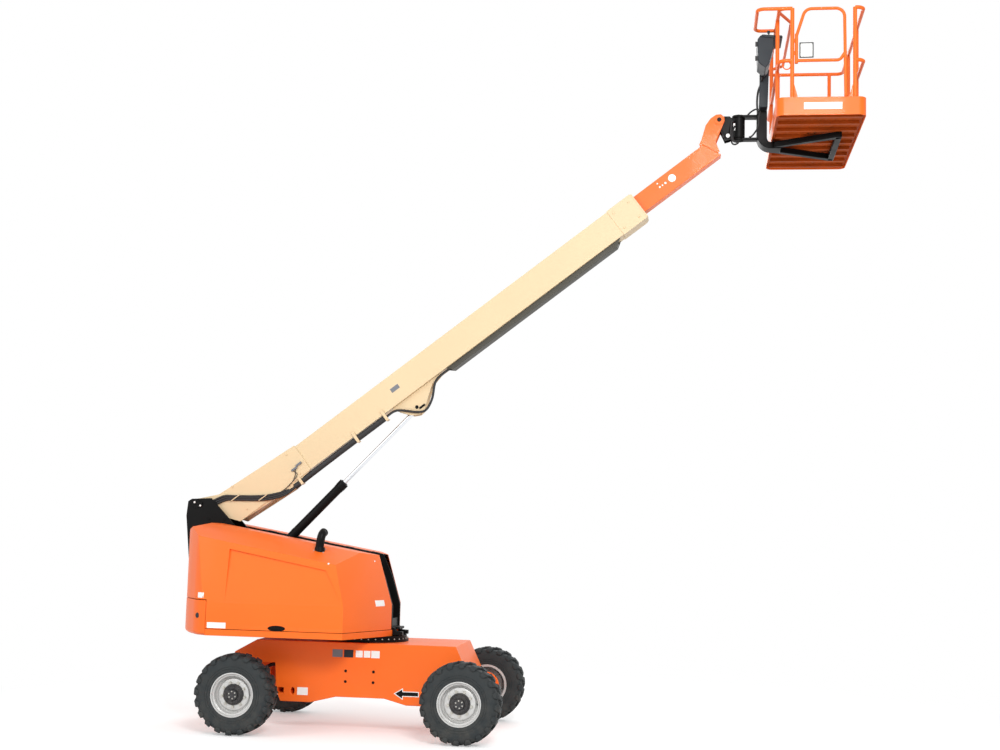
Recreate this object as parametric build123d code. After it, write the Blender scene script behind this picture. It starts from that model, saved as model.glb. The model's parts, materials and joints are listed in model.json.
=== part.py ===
from build123d import *
import math
import os

# Telescopic boom lift, boom raised and partly extended.
# All sizes in mm. X runs from the tail to the platform, Y across, Z up from the ground.
# The profiles are drawn about the slew axis and then moved so that the origin lies
# below the middle of the whole machine.

# Wheels
TYRE_D = 830
TYRE_W = 310
TRACK = 2000
WHEELBASE = 2350
STEER_X = -1150
RIM_D = 424
RIM_LIP_D = 452
HUB_D = 190
STUB_R = 45
SEAT_GAP = 0.3
LUGS = 20
TREAD = 23
MOVE_GAP = 6

# Chassis
FRAME_HALF = 500
FRAME_TOP = 935
FRAME_PLATE = 14
KINGPIN_Y = 720
ARM_LENGTH = 200
TIE_D = 38
MOTOR_Y = 735

# Turntable
TABLE_Z = 1000
TABLE_HALF = 1050
SILL_H = 65
CHAMFER_X0 = -40
CHAMFER_X = 345
CHAMFER_Y = 300
TAIL_R = 2060
TAIL_CURVE = 1500
TAIL_CORNER_Y = TABLE_HALF - 150
WEIGHT_X = -1500
WEIGHT_TOP = 1360
RING_R = 420
NOTCH_HALF = 115

# Boom tower and hoods
TOWER_IN = 186
TOWER_PLATE = 30
HOOD_IN = 227
HINGE_R = 5.2
HOOD_SHEET = 6
HOOD_Z = 1071
HOOD_RIDGE_Y = TABLE_HALF - 490
HOOD_DROP = 165
EXHAUST_R = 46
CREASE_Z = 1335
WALL_LEAN = 0.08
PANEL_LEAN = 0.045
SHOULDER_R = 60

# Boom, in lengths along (s) and square to (h) the line through the pivot
PIVOT = (-1950, 2370)
BOOM_ANGLE = 37.7
PIN_R = 38
BASE_W = 260
BASE_TOP = -140
BASE_DEPTH = 310
BASE_WALL = 6
BASE_START = 300
BASE_END = 5880
EAR_T = 16
FLY_W = 170
FLY_TOP = -173
FLY_DEPTH = 207
FLY_WALL = 6
FLY_START = 1150
FLY_END = 6830

# Lift cylinder
BARREL_R = 50
ROD_R = 24
EYE_R = 36
EYE_SH = (2600, -600)
CYL_ANGLE = 46.4
CYL_LENGTH = 3250
BARREL_LENGTH = 2080
BORE_START = 250
ROD_START = 1255
CHEEK_IN = 62

# Hoses
HOSE_D = 26

# Platform head
NOSE_PIN = (3735, 6691)
NOSE_IN = 73
NOSE_PIN_R = 24
DRUM_Z = (6500, 6722)
ROTATE_X = 3950

# Basket
BASKET_X0 = 4295
BASKET_X1 = 5195
BASKET_HALF = 1115
FLOOR_Z = 6468
TREAD_T = 3
TREAD_EDGE = 52
TOE_H = 150
TOE_T = 5
RAIL_D = 38
RAIL_Z = 7560
MID_Z = 7008

DRIVE_X = STEER_X + WHEELBASE
AXLE_Z = TYRE_D / 2
WHEEL_Y = TRACK / 2
SHIFT_X = (TAIL_R - BASKET_X1) / 2
DECK_TOP = TABLE_Z + 22
ON_DECK = DECK_TOP + SEAT_GAP


def side(points, y0, y1):
    """A solid from an X, Z outline between two Y planes."""
    wire = Wire.make_polygon([Vector(x, y0, z) for x, z in points], close=True)
    return Solid.extrude(Face(wire), Vector(0, y1 - y0, 0))


def plan(points, z0, z1):
    """A solid from an X, Y outline between two heights."""
    wire = Wire.make_polygon([Vector(x, y, z0) for x, y in points], close=True)
    return Solid.extrude(Face(wire), Vector(0, 0, z1 - z0))


def box(x0, x1, y0, y1, z0, z1):
    return plan([(x0, y0), (x1, y0), (x1, y1), (x0, y1)], z0, z1)


def rod_y(x, z, radius, y0, y1):
    return Solid.make_cylinder(radius, y1 - y0, Plane((x, y0, z), z_dir=(0, 1, 0)))


def rod_z(x, y, radius, z0, z1):
    return Solid.make_cylinder(radius, z1 - z0, Plane((x, y, z0)))


def rod(p, q, radius):
    a = Vector(p)
    b = Vector(q)
    return Solid.make_cylinder(radius, (b - a).length, Plane(a, z_dir=(b - a)))


def tube(points, diameter, bend):
    """A round bar along a line with rounded corners."""
    radius = diameter / 2
    knots = [Vector(*p) for p in points]
    pieces = []
    start = knots[0]
    for before, corner, after in zip(knots, knots[1:], knots[2:]):
        way_in = (corner - before).normalized()
        way_out = (after - corner).normalized()
        turn = math.acos(max(-1, min(1, way_in.dot(way_out))))
        trim = bend * math.tan(turn / 2)
        first = corner - way_in * trim
        last = corner + way_out * trim
        pieces.append(rod(start, first, radius))
        arc = Edge.make_tangent_arc(first, way_in, last)
        section = Plane(first, z_dir=way_in) * Circle(radius)
        pieces.append(sweep(section, path=arc).solids()[0])
        start = last
    pieces.append(rod(start, knots[-1], radius))
    return fuse(pieces)


def turned(points, x, y, z, outward):
    """A ring turned about the wheel's axis from radius, outward distance pairs."""
    wire = Wire.make_polygon([Vector(r, outward * u, 0) for r, u in points], close=True)
    return revolve(Face(wire), axis=Axis.Y, revolution_arc=360).solids()[0].moved(Location((x, y, z)))


def both(solid):
    """The solid and its mirror image across the middle plane."""
    return [solid, solid.mirror(Plane.XZ)]


def fuse(parts):
    first = parts[0]
    return first.fuse(*parts[1:]) if len(parts) > 1 else first


def boom_at(s, h, angle=BOOM_ANGLE):
    """A point of the boom's side view in X, Z."""
    a = math.radians(angle)
    x = PIVOT[0] + s * math.cos(a) - h * math.sin(a)
    z = PIVOT[1] + s * math.sin(a) + h * math.cos(a)
    return (x, z)


def boom_side(points, y0, y1):
    return side([boom_at(s, h) for s, h in points], y0, y1)


def boom_rect(s0, s1, h0, h1, y0, y1):
    return boom_side([(s0, h0), (s1, h0), (s1, h1), (s0, h1)], y0, y1)


EYE = boom_at(*EYE_SH)
CYL_DIR = (math.cos(math.radians(CYL_ANGLE)), math.sin(math.radians(CYL_ANGLE)))
FOOT = (EYE[0] - CYL_LENGTH * CYL_DIR[0], EYE[1] - CYL_LENGTH * CYL_DIR[1])


def along_cylinder(length):
    return (FOOT[0] + length * CYL_DIR[0], 0, FOOT[1] + length * CYL_DIR[1])


# Chassis pieces

FRAME_SIDE = [(STEER_X - 190, 800), (STEER_X + 50, FRAME_TOP), (DRIVE_X - 150, FRAME_TOP), (DRIVE_X + 130, 350),
              (DRIVE_X + 100, 305), (DRIVE_X - 660, 305), (DRIVE_X - 900, 367), (STEER_X + 930, 367),
              (STEER_X + 660, 300), (STEER_X + 330, 300), (STEER_X + 280, 420), (STEER_X + 260, 700),
              (STEER_X - 190, 700)]


def inset(points, t):
    """The outline moved inward by t."""
    wire = Wire.make_polygon([Vector(x, z, 0) for x, z in points], close=True)
    inner = wire.offset_2d(-t, kind=Kind.INTERSECTION)
    face = Face(inner if isinstance(inner, Wire) else inner.wires()[0])
    if face.area > Face(wire).area:
        inner = wire.offset_2d(t, kind=Kind.INTERSECTION)
        face = Face(inner if isinstance(inner, Wire) else inner.wires()[0])
    return [(v.X, v.Y) for v in [e @ 0 for e in face.outer_wire().order_edges()]]


def chassis_frame():
    outer = side(FRAME_SIDE, -FRAME_HALF, FRAME_HALF)
    hollow = side(inset(FRAME_SIDE, FRAME_PLATE), -FRAME_HALF + FRAME_PLATE, FRAME_HALF - FRAME_PLATE)
    return outer - hollow


def steer_axle():
    beam = box(STEER_X - 80, STEER_X + 80, -590, 590, AXLE_Z - 90, AXLE_Z + 90)
    post = box(STEER_X - 110, STEER_X + 110, -110, 110, AXLE_Z + 80, 700)
    ears = []
    for z0, z1 in ((AXLE_Z + 108, AXLE_Z + 133), (AXLE_Z - 133, AXLE_Z - 108)):
        ear = box(STEER_X - 80, STEER_X + 80, 540, KINGPIN_Y, z0, z1)
        ears.append(ear.fuse(rod_z(STEER_X, KINGPIN_Y, 80, z0, z1)))
    web = box(STEER_X - 80, STEER_X + 80, 540, 590, AXLE_Z - 133, AXLE_Z + 133)
    arms = [m for part in ears + [web] for m in both(part)]
    axle = fuse([beam, post] + arms)
    for y in (-KINGPIN_Y, KINGPIN_Y):
        axle = axle - rod_z(STEER_X, y, 24 + SEAT_GAP, 0, TABLE_Z)
    return axle


def knuckle():
    """The near one."""
    barrel = rod_z(STEER_X, -KINGPIN_Y, 75, AXLE_Z - 102, AXLE_Z + 102)
    spindle = rod_y(STEER_X, AXLE_Z, 92, -905, -KINGPIN_Y)
    flange = rod_y(STEER_X, AXLE_Z, 125, -850, -826)
    arm = box(STEER_X, STEER_X + ARM_LENGTH, -KINGPIN_Y - 30, -KINGPIN_Y + 30, AXLE_Z + 15, AXLE_Z + 40)
    boss = rod_z(STEER_X + ARM_LENGTH, -KINGPIN_Y, 32, AXLE_Z + 15, AXLE_Z + 40)
    stud = rod_z(STEER_X + ARM_LENGTH, -KINGPIN_Y, 14.7, AXLE_Z - 30, AXLE_Z + 20)
    kingpin = rod_z(STEER_X, -KINGPIN_Y, 24, AXLE_Z - 140, AXLE_Z + 140)
    stub = rod_y(STEER_X, AXLE_Z, STUB_R, -965, -900)
    return fuse([barrel, spindle, flange, arm, boss, stud, kingpin, stub])


def tie_rod():
    x = STEER_X + ARM_LENGTH
    z = AXLE_Z - 8
    bar = rod((x, -KINGPIN_Y + 20, z), (x, KINGPIN_Y - 20, z), TIE_D / 2)
    solid = bar
    for y in (-KINGPIN_Y, KINGPIN_Y):
        solid = solid.fuse(rod_z(x, y, 30, z - 20, z + 18))
    for y in (-KINGPIN_Y, KINGPIN_Y):
        solid = solid - rod_z(x, y, 15, z - 40, z + 40)
    return solid


def drive_axle_mounts():
    stub = box(DRIVE_X - 100, DRIVE_X + 100, -715, -FRAME_HALF, AXLE_Z - 95, AXLE_Z + 105)
    flange = rod_y(DRIVE_X, AXLE_Z, 160, -MOTOR_Y, -700)
    return both(stub.fuse(flange))


def drive_motors():
    body = rod_y(DRIVE_X, AXLE_Z, 92, -905, -MOTOR_Y)
    flange = rod_y(DRIVE_X, AXLE_Z, 118, -850, -826)
    stub = rod_y(DRIVE_X, AXLE_Z, STUB_R, -965, -900)
    return both(fuse([body, flange, stub]))


def slew_ring_lower():
    return rod_z(0, 0, RING_R + 20, FRAME_TOP, TABLE_Z - 35)


def slew_ring_upper():
    return rod_z(0, 0, RING_R, TABLE_Z - 35 + SEAT_GAP, TABLE_Z)


# Wheel pieces, given by the place of the wheel's middle and its outward side

def polygon_ring(radius, y):
    """A ring of straight sides about the axle, one side for each lug pitch."""
    turn = math.pi / LUGS
    points = [Vector(radius * math.cos((2 * i + 1) * turn), y, radius * math.sin((2 * i + 1) * turn)) for i in range(LUGS)]
    return Wire.make_polygon(points, close=True)


def lug(way):
    """One lug at the top of the tyre, over the shoulder on the side that way gives."""
    r = TYRE_D / 2
    w = TYRE_W / 2
    shape = [(-16, -12), (16, -12), (44, 92), (56, w), (12, w), (8, 92)]
    bar = plan([(x, way * y) for x, y in shape], r - 120, r)
    section = [(-12, r - 34), (-12, r), (w - 34, r - 4), (w, r - 40), (w, r - 72), (w - 14, r - 84), (w - 50, r - 34)]
    wire = Wire.make_polygon([Vector(-90, way * y, z) for y, z in section], close=True)
    return (bar & Solid.extrude(Face(wire), Vector(180, 0, 0))).solids()[0]


def tyre_body():
    """A tyre about the origin with its tread."""
    r = TYRE_D / 2 - TREAD
    w = TYRE_W / 2 - 9
    half = [(r, w - 46), (r - 34, w), (r - 92, w), (r - 132, w - 16)]
    rings = [(radius, -y) for radius, y in reversed(half)] + half
    body = Solid.make_loft([polygon_ring(radius, y) for radius, y in rings], ruled=True)
    lugs = []
    for way in (-1, 1):
        bar = lug(way)
        for i in range(LUGS):
            lugs.append(bar.rotate(Axis.Y, (i + (0.5 if way > 0 else 0)) * 360 / LUGS))
    body = body.fuse(*lugs)
    return body - rod_y(0, 0, RIM_D / 2 + SEAT_GAP, -w - 20, w + 20)


def tyre(x, y, z, outward):
    return TYRE.rotate(Axis.Z, 0 if outward > 0 else 180).moved(Location((x, y, z)))


def rim(x, y, z, outward):
    w = TYRE_W / 2 - 25
    r = RIM_D / 2
    lip = RIM_LIP_D / 2
    section = [(r, -w - 0.6), (lip, -w - 3), (lip, -w - 16), (r - 10, -w - 16), (r - 10, 30), (HUB_D / 2 + 70, 62),
               (HUB_D / 2 + SEAT_GAP, 62), (HUB_D / 2 + SEAT_GAP, 74), (HUB_D / 2 + 74, 74), (r - 10, 44),
               (r - 10, w + 16), (lip, w + 16), (lip, w + 3), (r, w + 0.6)]
    return turned(section, x, y, z, outward)


def hub(x, y, z, outward):
    r = HUB_D / 2
    bore = STUB_R + SEAT_GAP
    section = [(bore, -88), (r, -88), (r, 92), (r - 10, 102), (58, 102), (52, 128), (0, 128), (0, -30), (bore, -30)]
    return turned(section, x, y, z, outward)


# Turntable pieces

def tail_x(y, t=0):
    """The tail's X at a distance y from the middle plane, inset by t."""
    radius = TAIL_CURVE - t
    return TAIL_CURVE - TAIL_R - math.sqrt(radius * radius - y * y)


def tail_outline(t=0):
    """Half of the tail, from the middle plane to the near corner, inset by t."""
    points = [(tail_x(y, t), -y) for y in (0, 200, 400, 600, 780, TAIL_CORNER_Y)]
    points.append((-1690 + 0.7 * t, -TABLE_HALF + 75 + 0.8 * t))
    points.append((-1610 + 0.5 * t, -TABLE_HALF + 20 + t))
    return points


def front_slope():
    """How far the chamfered front comes in, in Y, for each unit of X."""
    return (TABLE_HALF - CHAMFER_Y) / (CHAMFER_X - CHAMFER_X0)


def turntable_deck():
    def outline(t):
        half = [(CHAMFER_X - t, -CHAMFER_Y), (CHAMFER_X0 - 0.4 * t, -TABLE_HALF + t),
                (WEIGHT_X + SEAT_GAP + t, -TABLE_HALF + t)]
        return half + [(x, -y) for x, y in reversed(half)]
    tray = plan(outline(0), TABLE_Z, TABLE_Z + SILL_H)
    return tray - plan(outline(10), DECK_TOP, TABLE_Z + SILL_H + 10)


def counterweight():
    half = tail_outline() + [(WEIGHT_X, -TABLE_HALF)]
    outline = half + [(x, -y) for x, y in reversed(half[1:])]
    block = plan(outline, TABLE_Z, WEIGHT_TOP)
    low = block.edges().filter_by_position(Axis.Z, TABLE_Z - 1, TABLE_Z + 1).sort_by(Axis.X)[:-1]
    block = block.chamfer(22, None, low)
    return block - box(FOOT[0] - 130, WEIGHT_X + 10, -NOTCH_HALF, NOTCH_HALF, DECK_TOP, WEIGHT_TOP + 10)


TOWER_SIDE = [(-2040, WEIGHT_TOP + SEAT_GAP), (-2055, 2236), (-2041, 2392), (-2000, 2420), (-1779, 2431), (-1477, 2119),
              (-1300, 2101), (150, 1854), (262, 1340), (300, ON_DECK), (-1488, ON_DECK), (-1488, WEIGHT_TOP + SEAT_GAP)]


def boom_tower():
    plate = side(TOWER_SIDE, -TOWER_IN - TOWER_PLATE, -TOWER_IN)
    plate = plate - rod_y(PIVOT[0], PIVOT[1], PIN_R + SEAT_GAP, -TOWER_IN - 100, 0)
    return both(plate)


def tower_back():
    """The cross plate between the tower plates."""
    plate = side([(-2035, 1400), (-2015, 1400), (-2025, 2150), (-2045, 2150)], -TOWER_IN + SEAT_GAP, TOWER_IN - SEAT_GAP)
    return plate


def boom_pin():
    outer = TOWER_IN + TOWER_PLATE + 12
    pin = rod_y(PIVOT[0], PIVOT[1], PIN_R, -outer, outer)
    caps = rod_y(PIVOT[0], PIVOT[1], PIN_R + 12, -outer, -outer + 12 - SEAT_GAP)
    collar = rod_y(PIVOT[0], PIVOT[1], PIN_R + 12, -TOWER_IN + SEAT_GAP, -BASE_W / 2 - EAR_T - SEAT_GAP)
    return fuse([pin] + both(caps) + both(collar))


def cylinder_foot():
    """Lugs that hold the foot of the lift cylinder, with its pin."""
    lug = side([(FOOT[0] - 95, ON_DECK), (FOOT[0] + 95, ON_DECK), (FOOT[0] + 60, FOOT[1] + 45), (FOOT[0] - 60, FOOT[1] + 45)],
               -95, -BARREL_R - 8)
    pin = rod_y(FOOT[0], FOOT[1], 22, -105, 105)
    return fuse(both(lug) + [pin])


FASCIA_LINE = [(150, 1830), (226, 1640), (322, 1360), (334, 1270), (318, 1090), (318, ON_DECK)]


def front_fascia():
    inner = [(x - 16, z) for x, z in reversed(FASCIA_LINE)]
    sheet = side(FASCIA_LINE + inner, -CHAMFER_Y - 180, -HOOD_IN + 8)
    slope = front_slope()
    limit = [(-100, -TABLE_HALF), (CHAMFER_X0 - 20, -TABLE_HALF), (CHAMFER_X - 20, -CHAMFER_Y), (CHAMFER_X + 80, -CHAMFER_Y + 100 * slope),
             (CHAMFER_X + 80, 0), (-100, 0)]
    wing = (sheet & plan(limit, TABLE_Z, 2000)).solids()[0]
    wing = wing.split(roof_plane(HOOD_SHEET + 12), keep=Keep.BOTTOM)
    low = side([(318, ON_DECK), (302, ON_DECK), (302, 1180), (325, 1180)], -HOOD_IN + 8, HOOD_IN - 8)
    foot = box(302, 378, -CHAMFER_Y + 40, CHAMFER_Y - 40, TABLE_Z + SILL_H + 2, TABLE_Z + SILL_H + 26)
    return fuse(both(wing) + [low, foot])


def engine_block():
    return box(-1380, -420, -TABLE_HALF + 170, -330, ON_DECK, 1620)


def side_tanks():
    return [box(-1380, -700, 330, TABLE_HALF - 150, ON_DECK, 1560),
            box(-620, CHAMFER_X0 - 40, 330, TABLE_HALF - 190, ON_DECK, 1480)]


HOOD_PROFILE = [(WEIGHT_X + 6, HOOD_Z), (342, HOOD_Z), (342, 1340), (238, 1640), (185, 1820), (150, 1858),
                (-1317, 2108), (-1710, 2160), (-1960, 2080), (-2060, 1900), (-2060, WEIGHT_TOP + 8),
                (WEIGHT_X + 6, WEIGHT_TOP + 8)]


ROOF_FALL = (1858 - 2108) / (150 + 1317)


def roof_z(x):
    """The height of the hoods' ridge line."""
    return 2108 + (x + 1317) * ROOF_FALL


def hood_hinges():
    """The hinge bars between the tower plates and the hoods."""
    y = -TOWER_IN - TOWER_PLATE - (HOOD_IN - TOWER_IN - TOWER_PLATE) / 2
    bar = rod((-1290, y, roof_z(-1290) - 6), (130, y, roof_z(130) - 6), HINGE_R)
    return both(bar)


def roof_plane(t):
    """The near hood's outward slope, lowered by t."""
    a = Vector(-1317, -HOOD_RIDGE_Y, 2108 - t)
    along = Vector(1, 0, ROOF_FALL)
    down = Vector(0, -(TABLE_HALF - HOOD_RIDGE_Y), -HOOD_DROP)
    normal = along.cross(down)
    if normal.Z < 0:
        normal = normal * -1
    return Plane(a, z_dir=normal)


def wall_plane(lean, t):
    """The near hood's side above the crease, leaning inward, moved in by t."""
    return Plane((0, -TABLE_HALF + t, CREASE_Z), z_dir=(0, -1, lean))


def panel_outline(t):
    """The pressed panel of the side wall in X, Z, grown by t."""
    return [(-1300 - t, CREASE_Z), (-1290 - t, 1895 + t), (-246 + t, 1700 + t), (-170 + t, 1560), (-54 + t, CREASE_Z)]


def hood_body(t):
    """The near hood's outer form, or what is taken out of it when t is the sheet's thickness."""
    inner = -HOOD_IN if t == 0 else -HOOD_IN + 20
    front = CHAMFER_X + (40 if t else 0)
    y_side = -TABLE_HALF + t
    bend_x = CHAMFER_X0 - 0.6 * t
    ring = [(front, inner), (front, y_side + front_slope() * (front - bend_x)), (bend_x, y_side), (-1560, y_side)]
    tail = [p for p in reversed(tail_outline(t + 2)) if p[1] < -250]
    last = (tail_x(-inner, t + 2), inner)
    body = plan(ring + tail + [last], HOOD_Z - 20, 2300)
    if t:
        low = [(WEIGHT_X + 6 + t, HOOD_Z - 30), (460, HOOD_Z - 30), (460, 1110), (400, 1358), (225, 1790)]
        top = [(150, 1858 - t), (-1317, 2108 - t), (-1708, 2160 - t), (-1955, 2080 - t), (-2060 + t, 1900),
               (-2060 + t, WEIGHT_TOP - 30), (WEIGHT_X + 6 + t, WEIGHT_TOP - 30)]
        profile = low + top
    else:
        profile = HOOD_PROFILE
    body = body & side(profile, -1200, 0)
    body = body.solids()[0].split(roof_plane(t), keep=Keep.BOTTOM)
    body = body.split(wall_plane(WALL_LEAN, t), keep=Keep.BOTTOM)
    shoulder = [e for e in body.edges() if e.center().Z > 1700 and e.center().Y < -TABLE_HALF + 170 and e.length > 700]
    body = body.fillet(SHOULDER_R - t, shoulder)
    pressed = side(panel_outline(t), -TABLE_HALF - 50, -TABLE_HALF + 200)
    pressed = pressed.split(wall_plane(WALL_LEAN + PANEL_LEAN, t), keep=Keep.TOP)
    return max((body - pressed).solids(), key=lambda s: s.volume)


def hood():
    shell = hood_body(0) - hood_body(HOOD_SHEET)
    return max(shell.solids(), key=lambda s: s.volume)


def hood_handle():
    return box(-800, -680, -TABLE_HALF - 14, -TABLE_HALF - SEAT_GAP, 1090, 1112)


def exhaust_outlet():
    """A bent outlet pipe on its foot, on the near hood's slope."""
    x = -400
    y = -HOOD_RIDGE_Y - 140
    z = roof_z(x) - 140 * HOOD_DROP / (TABLE_HALF - HOOD_RIDGE_Y)
    foot = rod_z(x, y, 68, z - 40, z + 22)
    pipe = rod_z(x, y, EXHAUST_R, z - 40, z + 130)
    bend = rod((x, y, z + 112), (x + 42, y, z + 228), EXHAUST_R)
    outlet = fuse([foot, pipe, bend]).split(roof_plane(-SEAT_GAP), keep=Keep.TOP)
    bore = rod((x + 6, y, z + 130), (x + 60, y, z + 279), EXHAUST_R - 5)
    return outlet - bore


# Boom pieces

def base_boom():
    half = BASE_W / 2
    low = BASE_TOP - BASE_DEPTH
    outer = boom_rect(BASE_START, BASE_END, low, BASE_TOP, -half, half)
    inner = boom_rect(BASE_START + 20, BASE_END + 20, low + BASE_WALL, BASE_TOP - BASE_WALL,
                      -half + BASE_WALL, half - BASE_WALL)
    box_tube = outer - inner
    slot = boom_rect(2430, 2860, low - 20, low + BASE_WALL + 10, -CHEEK_IN, CHEEK_IN)
    box_tube = box_tube - slot
    ear = [(-62, -10), (-52, 26), (-24, 50), (16, 54), (60, 30), (250, -60), (1250, -128), (1250, -455),
           (950, -495), (277, -448), (60, -180), (-30, -90)]
    plate = boom_side(ear, -half - EAR_T, -half)
    plate = plate - rod_y(PIVOT[0], PIVOT[1], PIN_R + SEAT_GAP, -half - 100, 0)
    cheek = boom_side([(2370, low), (2400, -513), (2500, -640), (2570, -678), (2650, -668), (2890, -490), (3060, low)],
                      -CHEEK_IN - 18, -CHEEK_IN)
    cap = rod_y(EYE[0], EYE[1], 30, -CHEEK_IN - 24, -CHEEK_IN - 10)
    collar = boom_rect(BASE_END - 330, BASE_END - 20, low - 6, BASE_TOP + 8, -half - 8, half + 8)
    collar = collar - boom_rect(BASE_END - 340, BASE_END, low + 1, BASE_TOP - 1, -half + 1, half - 1)
    pieces = [box_tube] + both(plate) + both(cheek) + both(cap) + [collar]
    return fuse(pieces)


def wear_pads():
    half = BASE_W / 2 - BASE_WALL - SEAT_GAP
    fly_half = FLY_W / 2 + SEAT_GAP
    fly_low = FLY_TOP - FLY_DEPTH
    low = BASE_TOP - BASE_DEPTH + BASE_WALL + SEAT_GAP
    s0 = BASE_END - 150
    s1 = BASE_END - 4
    top = boom_rect(s0, s1, FLY_TOP + SEAT_GAP, BASE_TOP - BASE_WALL - SEAT_GAP, -fly_half, fly_half)
    bottom = boom_rect(s0, s1, low, fly_low - SEAT_GAP, -fly_half, fly_half)
    flank = boom_rect(s0, s1, low + 40, BASE_TOP - 40, -half, -fly_half)
    return [top, bottom] + both(flank)


def hose_tray():
    low = BASE_TOP - BASE_DEPTH - SEAT_GAP
    half = BASE_W / 2 - 40
    outer = [(3110, low), (3170, low - 55), (5420, low - 55), (5500, low)]
    tray = boom_side(outer, -half, half)
    hollow = boom_side([(3080, low + 5), (3170, low - 50), (5420, low - 50), (5530, low + 5)], -half + 5, half - 5)
    return tray - hollow


def hose_bundle():
    """Two hoses along the near side of the boom, from the pivot to the underside."""
    y = -BASE_W / 2 - EAR_T - HOSE_D / 2 - SEAT_GAP
    low_y = -BASE_W / 2 + 10
    low_h = BASE_TOP - BASE_DEPTH - HOSE_D / 2 - SEAT_GAP
    hoses = []
    for step in (0, 1):
        drop = step * (HOSE_D + 3)
        route = [(180, -120 - drop, y), (420, -240 - drop, y), (1290, -330 - drop, y), (1500, low_h - 12 - drop, y),
                 (1760, low_h, low_y + drop), (2300, low_h, low_y + drop)]
        hoses.append(tube([(boom_at(s, h)[0], side_y, boom_at(s, h)[1]) for s, h, side_y in route], HOSE_D, 60))
    return hoses


def lift_barrel():
    body = rod(along_cylinder(60), along_cylinder(BARREL_LENGTH), BARREL_R)
    gland = rod(along_cylinder(BARREL_LENGTH - 70), along_cylinder(BARREL_LENGTH - 1), BARREL_R + 6)
    eye = rod_y(FOOT[0], FOOT[1], 62, -BARREL_R, BARREL_R)
    neck = rod(along_cylinder(0), along_cylinder(80), BARREL_R - 6)
    solid = fuse([body, gland, eye, neck])
    solid = solid - rod_y(FOOT[0], FOOT[1], 22 + SEAT_GAP, -200, 200)
    solid = solid - rod(along_cylinder(BORE_START), along_cylinder(BARREL_LENGTH - 60), ROD_R + 12)
    return solid - rod(along_cylinder(BARREL_LENGTH - 80), along_cylinder(BARREL_LENGTH + 10), ROD_R + SEAT_GAP)


def lift_rod():
    stem = rod(along_cylinder(ROD_START), along_cylinder(CYL_LENGTH), ROD_R)
    eye = rod_y(EYE[0], EYE[1], EYE_R, -CHEEK_IN + MOVE_GAP, CHEEK_IN - MOVE_GAP)
    return stem.fuse(eye)


def fly_boom():
    half = FLY_W / 2
    low = FLY_TOP - FLY_DEPTH
    end = [(FLY_START, low), (FLY_END + 92, low), (FLY_END, FLY_TOP), (FLY_START, FLY_TOP)]
    outer = boom_side(end, -half, half)
    hollow = [(FLY_START - 10, low + FLY_WALL), (FLY_END + 100, low + FLY_WALL), (FLY_END + 20, FLY_TOP - FLY_WALL),
              (FLY_START - 10, FLY_TOP - FLY_WALL)]
    tube_box = outer - boom_side(hollow, -half + FLY_WALL, half - FLY_WALL)
    return tube_box


def fly_nose():
    """The two cheeks that carry the platform head's pin, with the plate between them."""
    half = FLY_W / 2
    cheek = [(3520, 6410), (3545, 6470), (3589, 6629), (3640, 6705), (3700, 6748), (3752, 6752), (3790, 6722),
             (3795, 6680), (3700, 6440), (3744, 6335), (3640, 6262)]
    plate = side(cheek, -half, -NOSE_IN)
    plate = plate - rod_y(NOSE_PIN[0], NOSE_PIN[1], NOSE_PIN_R + SEAT_GAP, -half - 10, 0)
    bridge = side([(3549, 6440), (3589, 6629), (3600, 6620), (3562, 6440)], -NOSE_IN, NOSE_IN)
    low = FLY_TOP - FLY_DEPTH - SEAT_GAP
    top = FLY_TOP + SEAT_GAP
    end = FLY_END + 3 * SEAT_GAP
    room = [(FLY_START, low), (end + 92, low), (end, top), (FLY_START, top)]
    return fuse(both(plate) + [bridge]) - boom_side(room, -half - 10, half + 10)


# Platform pieces

def head_bracket():
    outer = NOSE_IN - MOVE_GAP
    cheek = [(3700, 6660), (3735, 6728), (3800, 6732), (3850, 6732), (3866, 6716), (3880, 6716), (3880, 6505),
             (3860, 6480), (3800, 6462), (3775, 6520)]
    plate = side(cheek, -outer, -outer + 16)
    web = box(3840, 3880, -outer, outer, 6505, 6716)
    plates = both(plate)
    pin = rod_y(NOSE_PIN[0], NOSE_PIN[1], NOSE_PIN_R, -FLY_W / 2 - 8, FLY_W / 2 + 8)
    low_pin = rod_y(3832, 6515, 24, -outer - 6, outer + 6)
    return fuse(plates + [web, pin, low_pin])


def rotary_actuator():
    drum = rod_z(ROTATE_X, 0, 66 - SEAT_GAP, DRUM_Z[0], DRUM_Z[1])
    return drum.fuse(box(3880 + SEAT_GAP, ROTATE_X, -50, 50, DRUM_Z[0], DRUM_Z[1]))


SUPPORT_X0 = 4140
SUPPORT_X1 = 4235
ARM_TOP = FLOOR_Z - 38


def platform_support():
    arm_z = DRUM_Z[1] + SEAT_GAP
    top = box(ROTATE_X, SUPPORT_X0 + 20, -60, 60, arm_z, 6750).fuse(rod_z(ROTATE_X, 0, 75, arm_z, 6750))
    arm_z = DRUM_Z[0] - SEAT_GAP
    low = box(ROTATE_X, SUPPORT_X0 + 20, -45, 45, 6470, arm_z).fuse(rod_z(ROTATE_X, 0, 60, 6470, arm_z))
    mast = [(SUPPORT_X0, 6490), (SUPPORT_X0, 6780), (SUPPORT_X1 + 15, 6780), (SUPPORT_X1 + 15, 6500),
            (4290, ARM_TOP), (4400, ARM_TOP), (4400, ARM_TOP - 70), (4235, ARM_TOP - 70), (4165, ARM_TOP - 2)]
    post = side(mast, -105, 105)
    solids = [top, low, post]
    for sign in (-1, 1):
        outline = [(4330, sign * 60), (4330, sign * 130), (5000, sign * 510), (5060, sign * 510), (5060, sign * 450)]
        solids.append(plan(outline, ARM_TOP - 62, ARM_TOP))
    solids.append(box(4990, 5060, -500, 500, ARM_TOP - 62, ARM_TOP))
    return fuse(solids)


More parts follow.
